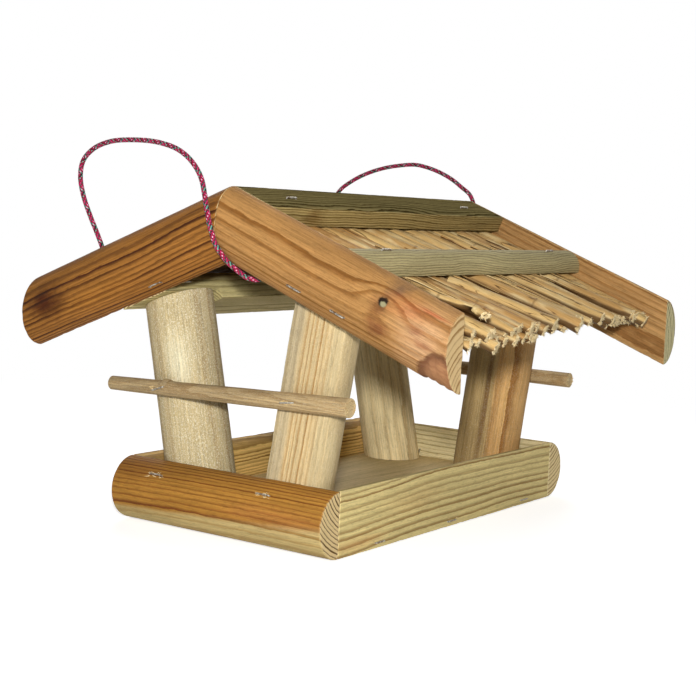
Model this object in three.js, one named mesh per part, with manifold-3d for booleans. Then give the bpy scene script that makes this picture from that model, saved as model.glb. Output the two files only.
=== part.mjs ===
import * as THREE from "three";
import { mergeVertices } from "three/addons/utils/BufferGeometryUtils.js";
import Module from "manifold-3d";

// A gabled bird table of round and half-round timber with a reed roof and two cord loops.
// X runs across the gables, Y along the ridge and Z up. The origin lies under the middle of the tray.
// All lengths are in millimetres and all angles in degrees.

// Play between pieces that meet, and how far a cutter runs past what it cuts.
const fitGap = 0.3;
const overrun = 60;

// Steps round a half-round section and round a post.
const arcSteps = 14;
const postSteps = 28;

// Tray: half-round rails round a floor panel. The end rails run the full width.
const trayWidth = 202;
const sideRailLength = 326;
const railHeight = 50;
const endRailDepth = 24;
const sideRailDepth = 21.5;
const floorThickness = 20;

// Roof outline: two mitred pairs of half-round rafters, cut plumb at the eaves.
const ridgeHeight = 264;
const roofPitch = 21.5;
const eaveReach = 200;
const rafterHeight = 52.4;
const rafterDepth = 22.3;
const rafterSetOut = 8;

// Purlins lie flat side down and carry the reed mats on their backs.
// A seat cut in the flat side lets each end down over a post's top.
const purlinWidth = 50;
const purlinDepth = 28;
const purlinPlace = 114;
const purlinSeatDepth = 7.4;

// Battens hold the reeds down from above.
const battenThickness = 14.5;
const ridgeBattenWidth = 40;
const middleBattenWidth = 29;
const middleBattenPlace = 115;

// Reed mats: two rows of stems on a packed core, fanned in plan and ragged at the eave.
const matThickness = 17;
const matEndClearance = 6.2;
const matReach = 217;
const coreSetBack = 16;
const stemRadius = 4.8;
const stemSides = 6;
const stemSpacing = 9.4;
const stemFan = 12;
const raggedness = 16;
const raggedShares = [0.15, 0.7, 0.4, 0.95, 0.1, 0.55, 0.85, 0.3, 0.65, 0, 0.5, 0.8, 0.25];

// Posts: round poles in the tray's corners, leaning outwards; one has a face planed flat.
const frontLeftPostRadius = 27.4;
const frontRightPostRadius = 26.1;
const backLeftPostRadius = 25.8;
const backRightPostRadius = 28.4;
const planedOff = 16;

// Perches: tapered sticks across the posts' outer faces, each past the tray at both ends.
const frontPerchThinRadius = 5.7;
const frontPerchThickRadius = 7.3;
const frontPerchLeftHeight = 105.5;
const frontPerchRightHeight = 111.5;
const frontPerchLeftOverhang = 19;
const frontPerchRightOverhang = 10;
const backPerchThinRadius = 6;
const backPerchThickRadius = 6.8;
const backPerchLeftHeight = 108;
const backPerchRightHeight = 107;
const backPerchLeftOverhang = 17;
const backPerchRightOverhang = 12;
const perchSides = 12;

// Staples of flat wire. The crown is what shows, the legs run into slots in the wood.
const crownLength = 12.7;
const wireThickness = 1;
const wireWidth = 1.3;
const curvedFaceLift = 0.9;

// Staples through the end rails into the posts' feet, driven square to the round face.
const footStapleAngle = 41;
const footStapleLegs = 35;

// Staples through the side rails into the floor's edges.
const floorStapleHeight = 4.5;
const floorStapleLegs = 32;
const floorStapleShares = [-0.675, -0.037, 0.718];

// Staples through the perches into the posts, and through the rafters into the purlins' ends.
const perchStapleLegs = 26;
const rafterStapleLegs = 34;

// Staples down through the battens: into the reeds at the ridge, through them into the purlins lower down.
const ridgeStaplePlace = 21;
const ridgeStapleLegs = 27;
const middleStapleLegs = 41;
const battenStapleInset = 42.7;

// Hanging cords: each loops from under the ridge joint over to the inner face of the left rafter.
const cordRadius = 2;
const cordSides = 8;
const cordStep = 10;
const cordStapleLegs = 12;
const cordStapleSetBack = 5;

// Sizes that follow from the ones above.
const trayHalfWidth = trayWidth / 2;
const railHalfHeight = railHeight / 2;
const floorHalfLength = sideRailLength / 2;
const endRailPlane = floorHalfLength + fitGap;
const rafterPlane = floorHalfLength + rafterSetOut;
const pitch = THREE.MathUtils.degToRad(roofPitch);
const rafterPlumbHeight = rafterHeight / Math.cos(pitch);
const matTop = battenThickness + fitGap;
const matBottom = matTop + matThickness;
const purlinBase = matBottom + fitGap + purlinDepth;
const purlinSeat = purlinBase - purlinSeatDepth;
const betweenRafters = 2 * (rafterPlane - fitGap);

// Points of the cords' centre lines from the ridge: across, out of the gable and up.
// Both come up from under the ridge joint alike, and then each has its own loop.
const cordStart = [
  [32.7, -2.5, -51.6],
  [32.9, -2.5, -58],
  [29.8, -2.9, -64.2],
  [23.8, -1.7, -67.7],
  [17.5, 2.4, -67.1],
  [13.5, 7.7, -63],
  [9.8, 13.3, -58],
  [6.8, 17.4, -52.9],
  [4.3, 21.2, -47.3],
  [2, 23.4, -41.5],
  [-0.3, 25.2, -33],
];
const frontCordLoop = [
  [-4.4, 25.2, -20],
  [-10.5, 21.5, -8],
  [-18, 17.5, 4.5],
  [-28, 16, 15.5],
  [-43.5, 14, 24.5],
  [-65.5, 12, 30],
  [-95.5, 9, 32],
  [-122, 7, 30.5],
  [-142, 5, 24.5],
  [-154.5, 3, 15],
  [-158.5, 1.3, 3],
  [-156.5, -0.2, -11],
  [-150, -1.5, -26.5],
  [-141.5, -2.3, -42],
  [-135.5, -2.3, -53],
  [-131, -2.3, -65],
];
const backCordLoop = [
  [-4, 24.2, -17],
  [-6.5, 20.5, -5],
  [-10, 17, 5.5],
  [-18, 14, 12.5],
  [-28.5, 13.5, 19.5],
  [-42.5, 13, 26],
  [-57, 12, 30.5],
  [-69, 11, 32.5],
  [-84, 9, 31.5],
  [-102, 7, 28.5],
  [-120, 5, 23],
  [-136, 3.5, 15.5],
  [-150.5, 2, 5],
  [-157, 0, -9],
  [-154.5, -1.5, -24],
  [-146.5, -2.3, -39],
  [-138, -2.3, -53],
  [-132, -2.3, -65],
];

const wasm = await Module();
wasm.setup();

// A closed three.js geometry as a solid, and a solid as a geometry.
function toSolid(geometry) {
  const bare = geometry.clone();
  bare.deleteAttribute("normal");
  bare.deleteAttribute("uv");
  const merged = mergeVertices(bare);
  const vertProperties = new Float32Array(merged.attributes.position.array);
  const triVerts = new Uint32Array(merged.index.array);
  return new wasm.Manifold(new wasm.Mesh({ numProp: 3, vertProperties, triVerts }));
}

function toGeometry(solid) {
  const { vertProperties, triVerts } = solid.getMesh();
  const geometry = new THREE.BufferGeometry();
  geometry.setAttribute("position", new THREE.BufferAttribute(new Float32Array(vertProperties), 3));
  geometry.setIndex(new THREE.BufferAttribute(new Uint32Array(triVerts), 1));
  return geometry;
}

// A section with its flat side on the x axis and its round back towards +y.
function halfRound(width, depth) {
  const points = [];
  for (let i = 0; i <= arcSteps; i++) {
    const angle = (Math.PI * i) / arcSteps;
    points.push(new THREE.Vector2((width / 2) * Math.cos(angle), depth * Math.sin(angle)));
  }
  return new THREE.Shape(points);
}

// A straight bar of a section, centred on its length along z.
function bar(section, length) {
  const geometry = new THREE.ExtrudeGeometry(section, { depth: length, bevelEnabled: false });
  return geometry.translate(0, 0, -length / 2);
}

// Axes of a piece whose section's y points out and whose length runs along the second direction.
function axes(out, along) {
  return new THREE.Matrix4().makeBasis(new THREE.Vector3().crossVectors(out, along), out, along);
}

function lay(piece, out, along) {
  piece.quaternion.setFromRotationMatrix(axes(out, along));
  return piece;
}

const vector = (x, y, z) => new THREE.Vector3(x, y, z);

function paint(color, roughness, metalness = 0) {
  return new THREE.MeshStandardMaterial({ color, roughness, metalness });
}

const endRailWood = paint(0xb98449, 0.75);
const sideRailWood = paint(0xcdbd88, 0.75);
const rafterWood = paint(0xc0884f, 0.7);
const postWood = paint(0xcfc39a, 0.75);
const greenWood = paint(0x8d8458, 0.8);
const perchWood = paint(0xa98a5c, 0.75);
const floorWood = paint(0x9b8558, 0.85);
const reed = paint(0xcfae70, 0.85);
const cordYarn = paint(0xb3284f, 0.9);
const steel = paint(0xb9b5aa, 0.4, 0.9);

const birdTable = new THREE.Group();

function add(name, geometry, material, parent = birdTable) {
  const piece = new THREE.Mesh(geometry, material);
  piece.name = name;
  parent.add(piece);
  return piece;
}

// Tray floor, as wide as the side rails' round backs leave at its upper face.
const rise = (floorThickness - railHalfHeight) / railHalfHeight;
const backAtFloor = sideRailDepth * Math.sqrt(1 - rise * rise);
const floorWidth = 2 * (trayHalfWidth - backAtFloor - fitGap);
const panel = new THREE.BoxGeometry(floorWidth, sideRailLength, floorThickness);
const floor = add("tray_floor", panel, floorWood);
floor.position.z = floorThickness / 2;

// End rails have their flat side to the tray, side rails have it outwards.
for (const [name, end] of [["rail_front", -1], ["rail_back", 1]]) {
  const rail = add(name, bar(halfRound(railHeight, endRailDepth), trayWidth), endRailWood);
  lay(rail, vector(0, end, 0), vector(1, 0, 0));
  rail.position.set(0, end * endRailPlane, railHalfHeight);
}
for (const [name, side] of [["rail_left", -1], ["rail_right", 1]]) {
  const rail = add(name, bar(halfRound(railHeight, sideRailDepth), sideRailLength), sideRailWood);
  lay(rail, vector(-side, 0, 0), vector(0, 1, 0));
  rail.position.set(side * trayHalfWidth, 0, railHalfHeight);
}

// Where each post stands, and where its foot staple and its perch's staple lie off its axis,
// as shares of its radius. The staple on the perch has a tilt of its own.
const posts = {
  front_left: {
    side: -1,
    end: -1,
    radius: frontLeftPostRadius,
    lean: 12,
    planed: 0,
    footStapleShare: 0.363,
    perchStapleShare: -0.084,
    stapleTilt: 19,
  },
  front_right: {
    side: 1,
    end: -1,
    radius: frontRightPostRadius,
    lean: 9,
    planed: planedOff,
    footStapleShare: -0.256,
    perchStapleShare: -0.216,
    stapleTilt: 6,
  },
  back_left: {
    side: -1,
    end: 1,
    radius: backLeftPostRadius,
    lean: 12,
    planed: 0,
    footStapleShare: -0.355,
    perchStapleShare: -0.144,
    stapleTilt: 14,
  },
  back_right: {
    side: 1,
    end: 1,
    radius: backRightPostRadius,
    lean: 6.7,
    planed: 0,
    footStapleShare: -0.417,
    perchStapleShare: 0.067,
    stapleTilt: -8,
  },
};
const foot = floorThickness + fitGap;

// How far a post's axis is from the middle of the tray at its foot, with the side rail's back beside it.
function footReach({ radius, lean }) {
  const tilt = THREE.MathUtils.degToRad(lean);
  const railReach = Math.hypot(sideRailDepth * Math.cos(tilt), railHalfHeight * Math.sin(tilt));
  const drop = Math.tan(tilt) * (railHalfHeight - foot);
  return trayHalfWidth - (railReach + fitGap + radius) / Math.cos(tilt) - drop;
}

// A place beside a post's axis at some height, outwards by a share of the post's radius.
function besidePost(post, z, share) {
  const lean = Math.tan(THREE.MathUtils.degToRad(post.lean)) * (z - foot);
  return post.side * (footReach(post) + lean + share * post.radius);
}

// A post is a pole sheared over to its lean and cut along the purlin's seat.
// It stands on the floor, against the end rail and against the side rail's round back.
function addPost(name, post) {
  const { side, end, radius, lean, planed } = post;
  const tilt = THREE.MathUtils.degToRad(lean);
  const run = side * Math.tan(tilt);
  const points = [];
  for (let i = 0; i < postSteps; i++) {
    const angle = (2 * Math.PI * (i + 1 / 2)) / postSteps;
    const reach = Math.min(radius * Math.sin(angle), radius - planed);
    points.push(new THREE.Vector2((radius * Math.cos(angle)) / Math.cos(tilt), end * reach));
  }
  if (end < 0) {
    points.reverse();
  }
  const seat = ridgeHeight - (purlinSeat + fitGap) / Math.cos(pitch) - foot;
  const geometry = new THREE.ExtrudeGeometry(new THREE.Shape(points), { depth: seat, bevelEnabled: false });
  const places = geometry.attributes.position;
  for (let i = 0; i < places.count; i++) {
    const x = places.getX(i);
    const topAtRest = seat - Math.tan(pitch) * (footReach(post) + side * x);
    const z = places.getZ(i) > 0 ? topAtRest / (1 + Math.tan(pitch) * Math.tan(tilt)) : 0;
    places.setXYZ(i, x + run * z, places.getY(i), z);
  }
  geometry.computeVertexNormals();
  const piece = add(name, geometry, postWood);
  piece.position.set(side * footReach(post), end * (floorHalfLength - radius + planed), foot);
}
for (const [place, post] of Object.entries(posts)) {
  addPost(`post_${place}`, post);
}

// Gables: a rafter runs from the ridge mitre to the plumb eave cut, its flat side to the roof.
const gables = [-1, 1].map((end) => {
  const gable = new THREE.Group();
  gable.position.set(0, end * rafterPlane, ridgeHeight);
  birdTable.add(gable);
  return gable;
});

function addRafter(name, end, side) {
  const length = eaveReach - fitGap / 2;
  const geometry = bar(halfRound(rafterPlumbHeight, rafterDepth), length);
  geometry.applyMatrix4(axes(vector(0, end, 0), vector(side, 0, 0)));
  geometry.translate(side * (eaveReach - length / 2), 0, -rafterPlumbHeight / 2);
  const shear = new THREE.Matrix4();
  shear.elements[2] = -side * Math.tan(pitch);
  geometry.applyMatrix4(shear);
  return add(name, geometry, rafterWood, gables[end < 0 ? 0 : 1]);
}
addRafter("rafter_front_left", -1, -1);
addRafter("rafter_front_right", -1, 1);
addRafter("rafter_back_left", 1, -1);
addRafter("rafter_back_right", 1, 1);

// Each slope has its own axes: x down the slope from the ridge, z square out of the roof.
function slope(side) {
  const group = new THREE.Group();
  group.position.z = ridgeHeight;
  group.rotation.set(0, pitch, side < 0 ? Math.PI : 0, "ZYX");
  birdTable.add(group);
  return group;
}

// A box between two corners.
function block(low, high) {
  const box = new THREE.BoxGeometry(...high.clone().sub(low).toArray());
  return box.translate(...high.clone().add(low).divideScalar(2).toArray());
}

// One row of stems, each a prism that starts above the ridge end and stops at its own length.
function stemRow(height, shift) {
  const fan = THREE.MathUtils.degToRad(stemFan);
  const drift = matReach * Math.tan(fan);
  const count = Math.ceil((betweenRafters + drift) / stemSpacing);
  const stems = [];
  for (let i = 0; i < count; i++) {
    const share = raggedShares[(i + shift) % raggedShares.length];
    const length = (matReach - raggedness * share) / Math.cos(fan);
    const stem = new THREE.CylinderGeometry(stemRadius, stemRadius, length, stemSides);
    stem.rotateY(Math.PI / stemSides);
    stem.rotateZ(-Math.PI / 2);
    stem.translate(length / 2, 0, 0);
    stem.rotateZ(fan);
    stem.translate(0, i * stemSpacing - drift - betweenRafters / 2, -height);
    stems.push(toSolid(stem));
  }
  return stems;
}

const start = matBottom * Math.tan(pitch) + fitGap;
const halfMat = rafterPlane - matEndClearance;
const matSpace = block(vector(start, -halfMat, -matBottom), vector(matReach + overrun, halfMat, -matTop));
const core = block(
  vector(start, -halfMat, stemRadius - matBottom),
  vector(matReach - coreSetBack, halfMat, -matTop - stemRadius),
);
const rows = [...stemRow(matTop + stemRadius, 0), ...stemRow(matBottom - stemRadius, 5)];
const mat = toGeometry(wasm.Manifold.union([toSolid(core), ...rows]).intersect(toSolid(matSpace)));

// Ridge battens are mitred plumb against each other.
const mitre = Math.tan(pitch);
const mitreGap = fitGap / 2 / Math.cos(pitch);
const ridgeSection = new THREE.Shape([
  new THREE.Vector2(mitreGap, 0),
  new THREE.Vector2(mitreGap + battenThickness * mitre, -battenThickness),
  new THREE.Vector2(ridgeBattenWidth, -battenThickness),
  new THREE.Vector2(ridgeBattenWidth, 0),
]);

// A purlin along its own z, its flat side cut back over each post as far as the post's inner side.
function purlinBlank(side) {
  let blank = toSolid(bar(halfRound(purlinWidth, purlinDepth), betweenRafters));
  for (const post of Object.values(posts).filter((each) => each.side === side)) {
    const inner = floorHalfLength - 2 * post.radius + post.planed - fitGap;
    const ends = [side * post.end * inner, side * post.end * betweenRafters].sort((a, b) => a - b);
    const low = vector(-purlinWidth, -purlinDepth, ends[0]);
    const high = vector(purlinWidth, purlinSeatDepth, ends[1]);
    blank = blank.subtract(toSolid(block(low, high)));
  }
  return toGeometry(blank);
}

const slopes = {};
for (const [label, side] of [["left", -1], ["right", 1]]) {
  const roof = slope(side);
  slopes[label] = roof;
  const purlin = add(`purlin_${label}`, purlinBlank(side), greenWood, roof);
  lay(purlin, vector(0, 0, 1), vector(0, 1, 0));
  purlin.position.set(purlinPlace, 0, -purlinBase);
  add(`thatch_${label}`, mat.clone(), reed, roof);
  const ridgeBatten = add(`ridge_batten_${label}`, bar(ridgeSection, betweenRafters), greenWood, roof);
  lay(ridgeBatten, vector(0, 0, 1), vector(0, -1, 0));
  const middleSection = halfRound(middleBattenWidth, battenThickness);
  const middleBatten = add(`middle_batten_${label}`, bar(middleSection, betweenRafters), greenWood, roof);
  lay(middleBatten, vector(0, 0, 1), vector(0, 1, 0));
  middleBatten.position.set(middleBattenPlace, 0, -battenThickness);
}

// Perches, each by its left and right ends.
function perchEnd(side, overhang, z, radius) {
  return { x: side * (trayHalfWidth + overhang), z, radius };
}
const perches = {
  front: {
    end: -1,
    left: perchEnd(-1, frontPerchLeftOverhang, frontPerchLeftHeight, frontPerchThinRadius),
    right: perchEnd(1, frontPerchRightOverhang, frontPerchRightHeight, frontPerchThickRadius),
  },
  back: {
    end: 1,
    left: perchEnd(-1, backPerchLeftOverhang, backPerchLeftHeight, backPerchThinRadius),
    right: perchEnd(1, backPerchRightOverhang, backPerchRightHeight, backPerchThickRadius),
  },
};

// A perch's axis point at a given x. Its back keeps the fit gap to the posts' outer faces.
function perchPoint({ end, left, right }, x) {
  const share = (x - left.x) / (right.x - left.x);
  const radius = THREE.MathUtils.lerp(left.radius, right.radius, share);
  const y = end * (floorHalfLength + fitGap + radius);
  return { radius, point: vector(x, y, THREE.MathUtils.lerp(left.z, right.z, share)) };
}

for (const [place, perch] of Object.entries(perches)) {
  const left = perchPoint(perch, perch.left.x).point;
  const right = perchPoint(perch, perch.right.x).point;
  const length = left.distanceTo(right);
  const stick = new THREE.CylinderGeometry(perch.right.radius, perch.left.radius, length, perchSides);
  const piece = add(`perch_${place}`, stick, perchWood);
  piece.position.copy(left.clone().add(right).divideScalar(2));
  piece.quaternion.setFromUnitVectors(vector(0, 1, 0), right.clone().sub(left).normalize());
}

// A staple: crown along its own x, legs along its own -z, crown held clear of the surface by its lift.
const cutters = [];

function addStaple(name, at, drive, crown, legs, lift = 0, parent = birdTable) {
  const outer = crownLength / 2;
  const inner = outer - wireThickness;
  const under = lift + fitGap;
  const over = under + wireThickness;
  const outline = new THREE.Shape([
    new THREE.Vector2(-outer, -legs),
    new THREE.Vector2(-inner, -legs),
    new THREE.Vector2(-inner, under),
    new THREE.Vector2(inner, under),
    new THREE.Vector2(inner, -legs),
    new THREE.Vector2(outer, -legs),
    new THREE.Vector2(outer, over),
    new THREE.Vector2(-outer, over),
  ]);
  const geometry = bar(outline, wireWidth).rotateX(Math.PI / 2);
  const staple = add(name, geometry, steel, parent);
  const up = drive.clone().negate().normalize();
  const across = crown.clone().normalize();
  const axesOfStaple = new THREE.Matrix4().makeBasis(across, up.clone().cross(across), up);
  staple.quaternion.setFromRotationMatrix(axesOfStaple);
  staple.position.copy(at);
  staple.updateWorldMatrix(true, false);
  for (const legSide of [-1, 1]) {
    const middle = (legSide * (outer + inner)) / 2;
    const half = wireThickness / 2 + fitGap;
    const slot = block(
      vector(middle - half, -wireWidth / 2 - fitGap, -legs - fitGap),
      vector(middle + half, wireWidth / 2 + fitGap, over),
    );
    cutters.push(toSolid(slot.applyMatrix4(staple.matrixWorld)));
  }
}

// Foot staples start on the end rail's round back, square to it. Perch staples go into the posts behind.
const footAngle = THREE.MathUtils.degToRad(footStapleAngle);
for (const [place, post] of Object.entries(posts)) {
  const { end } = post;
  const x = besidePost(post, foot, post.footStapleShare);
  const y = end * (endRailPlane + endRailDepth * Math.cos(footAngle));
  const z = railHalfHeight * (1 + Math.sin(footAngle));
  const drive = vector(0, -end * Math.cos(footAngle), -Math.sin(footAngle));
  addStaple(`staple_foot_${place}`, vector(x, y, z), drive, vector(1, 0, 0), footStapleLegs);

  const perch = end < 0 ? perches.front : perches.back;
  const meanHeight = (perch.left.z + perch.right.z) / 2;
  const { radius, point } = perchPoint(perch, besidePost(post, meanHeight, post.perchStapleShare));
  const angle = THREE.MathUtils.degToRad(post.stapleTilt);
  const crown = vector(Math.cos(angle), 0, Math.sin(angle));
  const at = point.add(vector(0, end * radius, 0));
  addStaple(`staple_perch_${place}`, at, vector(0, -end, 0), crown, perchStapleLegs);
}

for (const [label, side] of [["left", -1], ["right", 1]]) {
  floorStapleShares.forEach((share, i) => {
    const at = vector(side * trayHalfWidth, share * floorHalfLength, floorStapleHeight);
    addStaple(`staple_floor_${label}_${i + 1}`, at, vector(-side, 0, 0), vector(0, 1, 0), floorStapleLegs);
  });
}

// A place on a rafter: distance down the slope, depth square to the top edge, height above the flat side.
function onRafter(end, side, place, depth, proud) {
  const x = place * Math.cos(pitch) - depth * Math.sin(pitch);
  const z = ridgeHeight - place * Math.sin(pitch) - depth * Math.cos(pitch);
  return vector(side * x, end * (rafterPlane + proud), z);
}

// Rafter staples lie down the slope from the purlin's middle and up from its flat base,
// as shares of its width and depth.
const rafterStaples = [
  { name: "staple_rafter_front_left", end: -1, side: -1, asideShare: -0.52, riseShare: 0.432 },
  { name: "staple_rafter_front_right_1", end: -1, side: 1, asideShare: -0.41, riseShare: 0.754 },
  { name: "staple_rafter_front_right_2", end: -1, side: 1, asideShare: 0.41, riseShare: 0.754 },
  { name: "staple_rafter_back_left", end: 1, side: -1, asideShare: -0.4, riseShare: 0.682 },
  { name: "staple_rafter_back_right_1", end: 1, side: 1, asideShare: -0.44, riseShare: 0.646 },
  { name: "staple_rafter_back_right_2", end: 1, side: 1, asideShare: 0.4, riseShare: 0.718 },
];
for (const { name, end, side, asideShare, riseShare } of rafterStaples) {
  const place = purlinPlace + asideShare * purlinWidth;
  const depth = purlinBase - riseShare * purlinDepth;
  const share = (2 * depth) / rafterHeight - 1;
  const proud = rafterDepth * Math.sqrt(1 - share * share);
  const at = onRafter(end, side, place, depth, proud);
  const crown = vector(side * Math.cos(pitch), 0, -Math.sin(pitch));
  addStaple(name, at, vector(0, -end, 0), crown, rafterStapleLegs, curvedFaceLift);
}

// The left slope's own y runs from back to front, so its front staples lie at the other end of it.
for (const [label, side] of [["left", -1], ["right", 1]]) {
  const roof = slopes[label];
  for (const [place, end] of [["back", 1], ["front", -1]]) {
    const y = side * end * (betweenRafters / 2 - battenStapleInset);
    const down = vector(0, 0, -1);
    const along = vector(0, 1, 0);
    const ridgeAt = vector(ridgeStaplePlace, y, 0);
    const middleAt = vector(middleBattenPlace, y, 0);
    addStaple(`staple_ridge_${label}_${place}`, ridgeAt, down, along, ridgeStapleLegs, 0, roof);
    addStaple(`staple_middle_${label}_${place}`, middleAt, down, along, middleStapleLegs, 0, roof);
  }
}

// Cords, and the staples that straddle their ends on the rafters' inner faces.
function addCord(name, route, end) {
  const gable = gables[end < 0 ? 0 : 1];
  const points = route.map(([x, out, up]) => vector(x, end * out, up));
  const curve = new THREE.CatmullRomCurve3(points, false, "centripetal");
  const section = [];
  for (let i = 0; i < cordSides; i++) {
    const angle = (2 * Math.PI * i) / cordSides;
    section.push(new THREE.Vector2(cordRadius * Math.cos(angle), cordRadius * Math.sin(angle)));
  }
  const steps = Math.round(curve.getLength() / cordStep);
  const options = { steps, extrudePath: curve, bevelEnabled: false };
  add(name, new THREE.ExtrudeGeometry(new THREE.Shape(section), options), cordYarn, gable);
  const tips = [["ridge", points[0], points[1]], ["rafter", points.at(-1), points.at(-2)]];
  for (const [label, tip, next] of tips) {
    const run = next.clone().sub(tip).normalize();
    const at = tip.clone().addScaledVector(run, cordStapleSetBack);
    at.y = 0;
    const inward = vector(0, end, 0);
    const lift = 2 * cordRadius + fitGap;
    addStaple(`staple_${name}_${label}`, at, inward, run.cross(inward), cordStapleLegs, lift, gable);
  }
}
addCord("cord_front", [...cordStart, ...frontCordLoop], -1);
addCord("cord_back", [...cordStart, ...backCordLoop], 1);

// Slots for the staples' legs in every wooden piece and in the reeds.
const slots = wasm.Manifold.union(cutters);
birdTable.updateMatrixWorld(true);
birdTable.traverse((piece) => {
  if (!piece.isMesh || piece.material === steel || piece.material === cordYarn) {
    return;
  }
  const placed = toSolid(piece.geometry.clone().applyMatrix4(piece.matrixWorld));
  const geometry = toGeometry(placed.subtract(slots));
  piece.geometry = geometry.applyMatrix4(piece.matrixWorld.clone().invert());
});

birdTable.traverse((piece) => {
  if (piece.isMesh) {
    piece.geometry.computeVertexNormals();
  }
});

export default birdTable;
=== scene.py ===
"""A gabled bird table of round and half-round timber with a reed roof and two cord loops.

Lengths are written in millimetres, as in the part's source, and become metres in the meshes.
"""
import math
import random
from collections import namedtuple

import bpy
from mathutils import Matrix, Vector, noise


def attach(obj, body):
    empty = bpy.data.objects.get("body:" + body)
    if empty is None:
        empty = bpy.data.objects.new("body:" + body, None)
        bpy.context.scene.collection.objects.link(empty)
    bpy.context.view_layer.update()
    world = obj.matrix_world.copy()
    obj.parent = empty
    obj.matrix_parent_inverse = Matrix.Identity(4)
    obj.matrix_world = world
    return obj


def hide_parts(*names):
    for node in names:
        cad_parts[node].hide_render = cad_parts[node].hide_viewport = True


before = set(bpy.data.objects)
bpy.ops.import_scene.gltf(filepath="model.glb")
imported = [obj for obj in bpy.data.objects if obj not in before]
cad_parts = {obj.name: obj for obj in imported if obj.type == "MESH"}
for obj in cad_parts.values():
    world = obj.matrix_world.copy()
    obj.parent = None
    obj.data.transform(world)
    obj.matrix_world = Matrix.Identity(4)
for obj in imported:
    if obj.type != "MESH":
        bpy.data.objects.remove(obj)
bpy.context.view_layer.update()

MM = 0.001


# --- Camera ---------------------------------------------------------------------------------------
# The photograph's camera, in metres, solved from the tray's and the roof's edges.

PHOTO_PIXELS = 696
FOCAL_PIXELS = 1419.82
SENSOR = 36.0
CAMERA_PLACE = Vector((0.67077, -0.98186, 0.24699))
CAMERA_RIGHT = Vector((0.8180, 0.5736, 0.0433)).normalized()
CAMERA_AHEAD = Vector((-0.5682, 0.8175, -0.0942)).normalized()


def make_camera():
    data = bpy.data.cameras.new("camera")
    data.sensor_width = SENSOR
    data.lens = FOCAL_PIXELS / PHOTO_PIXELS * SENSOR
    data.clip_start, data.clip_end = 0.05, 20.0
    camera = bpy.data.objects.new("camera", data)
    up = CAMERA_RIGHT.cross(CAMERA_AHEAD).normalized()
    turn = Matrix((CAMERA_RIGHT, up, -CAMERA_AHEAD)).transposed()
    camera.matrix_world = Matrix.Translation(CAMERA_PLACE) @ turn.to_4x4()
    bpy.context.collection.objects.link(camera)
    bpy.context.scene.camera = camera


make_camera()


# --- Sizes ----------------------------------------------------------------------------------------
# The part's own sizes. Depths in the roof are taken square to a slope, from the battens' tops down.

FIT = 0.3  # left between pieces that meet
TRAY_HALF = 101.0
FLOOR_HALF = 163.0
FLOOR_TOP = 20.0
RAIL_HEIGHT = 50.0
END_RAIL_DEPTH = 24.0
SIDE_RAIL_DEPTH = 21.5
RIDGE = 264.0
PITCH = math.radians(21.5)
EAVE = 200.0
RAFTER_PLANE = 171.0  # the rafters' flat sides
RAFTER_WIDTH = 52.4
RAFTER_PLUMB = RAFTER_WIDTH / math.cos(PITCH)
RAFTER_DEPTH = 22.3
BATTEN = 14.5
BATTEN_HALF = RAFTER_PLANE - FIT
MIDDLE_BATTEN_WIDTH = 29.0
MIDDLE_BATTEN_PLACE = 115.0
RIDGE_BATTEN_WIDTH = 40.0
MAT_BOTTOM = BATTEN + FIT + 17.0
PURLIN_WIDTH = 50.0
PURLIN_DEPTH = 28.0
PURLIN_PLACE = 114.0
PURLIN_BASE = MAT_BOTTOM + FIT + PURLIN_DEPTH
SEAT_DEPTH = 7.4  # cut from a purlin's flat side over each post
PURLIN_SEAT = PURLIN_BASE - SEAT_DEPTH


# --- Meshes and pieces ----------------------------------------------------------------------------

def new_mesh(name, corners, faces, edges=()):
    """A mesh from corners in millimetres."""
    mesh = bpy.data.meshes.new(name)
    mesh.from_pydata([Vector(corner) * MM for corner in corners], edges, faces)
    return mesh


def write_values(mesh, name, values):
    """One number for each of the mesh's points, for materials and node trees to read."""
    mesh.attributes.new(name, "FLOAT", "POINT").data.foreach_set("value", values)


def tube_faces(rows, around):
    """Quads between rows of points that each go once round."""
    faces = []
    for i in range(rows - 1):
        for j in range(around):
            k = (j + 1) % around
            faces.append((i * around + j, i * around + k, (i + 1) * around + k, (i + 1) * around + j))
    return faces


def put(name, mesh, slot, node, *materials):
    """A finished mesh as the piece that stands for a node of the part."""
    piece = bpy.data.objects.new(name, mesh)
    bpy.context.collection.objects.link(piece)
    for material in materials:
        mesh.materials.append(material)
    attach(piece, "root")
    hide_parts(node)
    return piece


# --- Shader building blocks -----------------------------------------------------------------------

ORIGIN = (0.0, 0.0, 0.0)
HALF = (0.5, 0.5, 0.5)


def colour(text):
    """A colour written as on screen, in the shader's linear values."""
    channels = [int(text[i:i + 2], 16) / 255 for i in (0, 2, 4)]
    linear = [c / 12.92 if c <= 0.04045 else ((c + 0.055) / 1.055) ** 2.4 for c in channels]
    return (*linear, 1.0)


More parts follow.
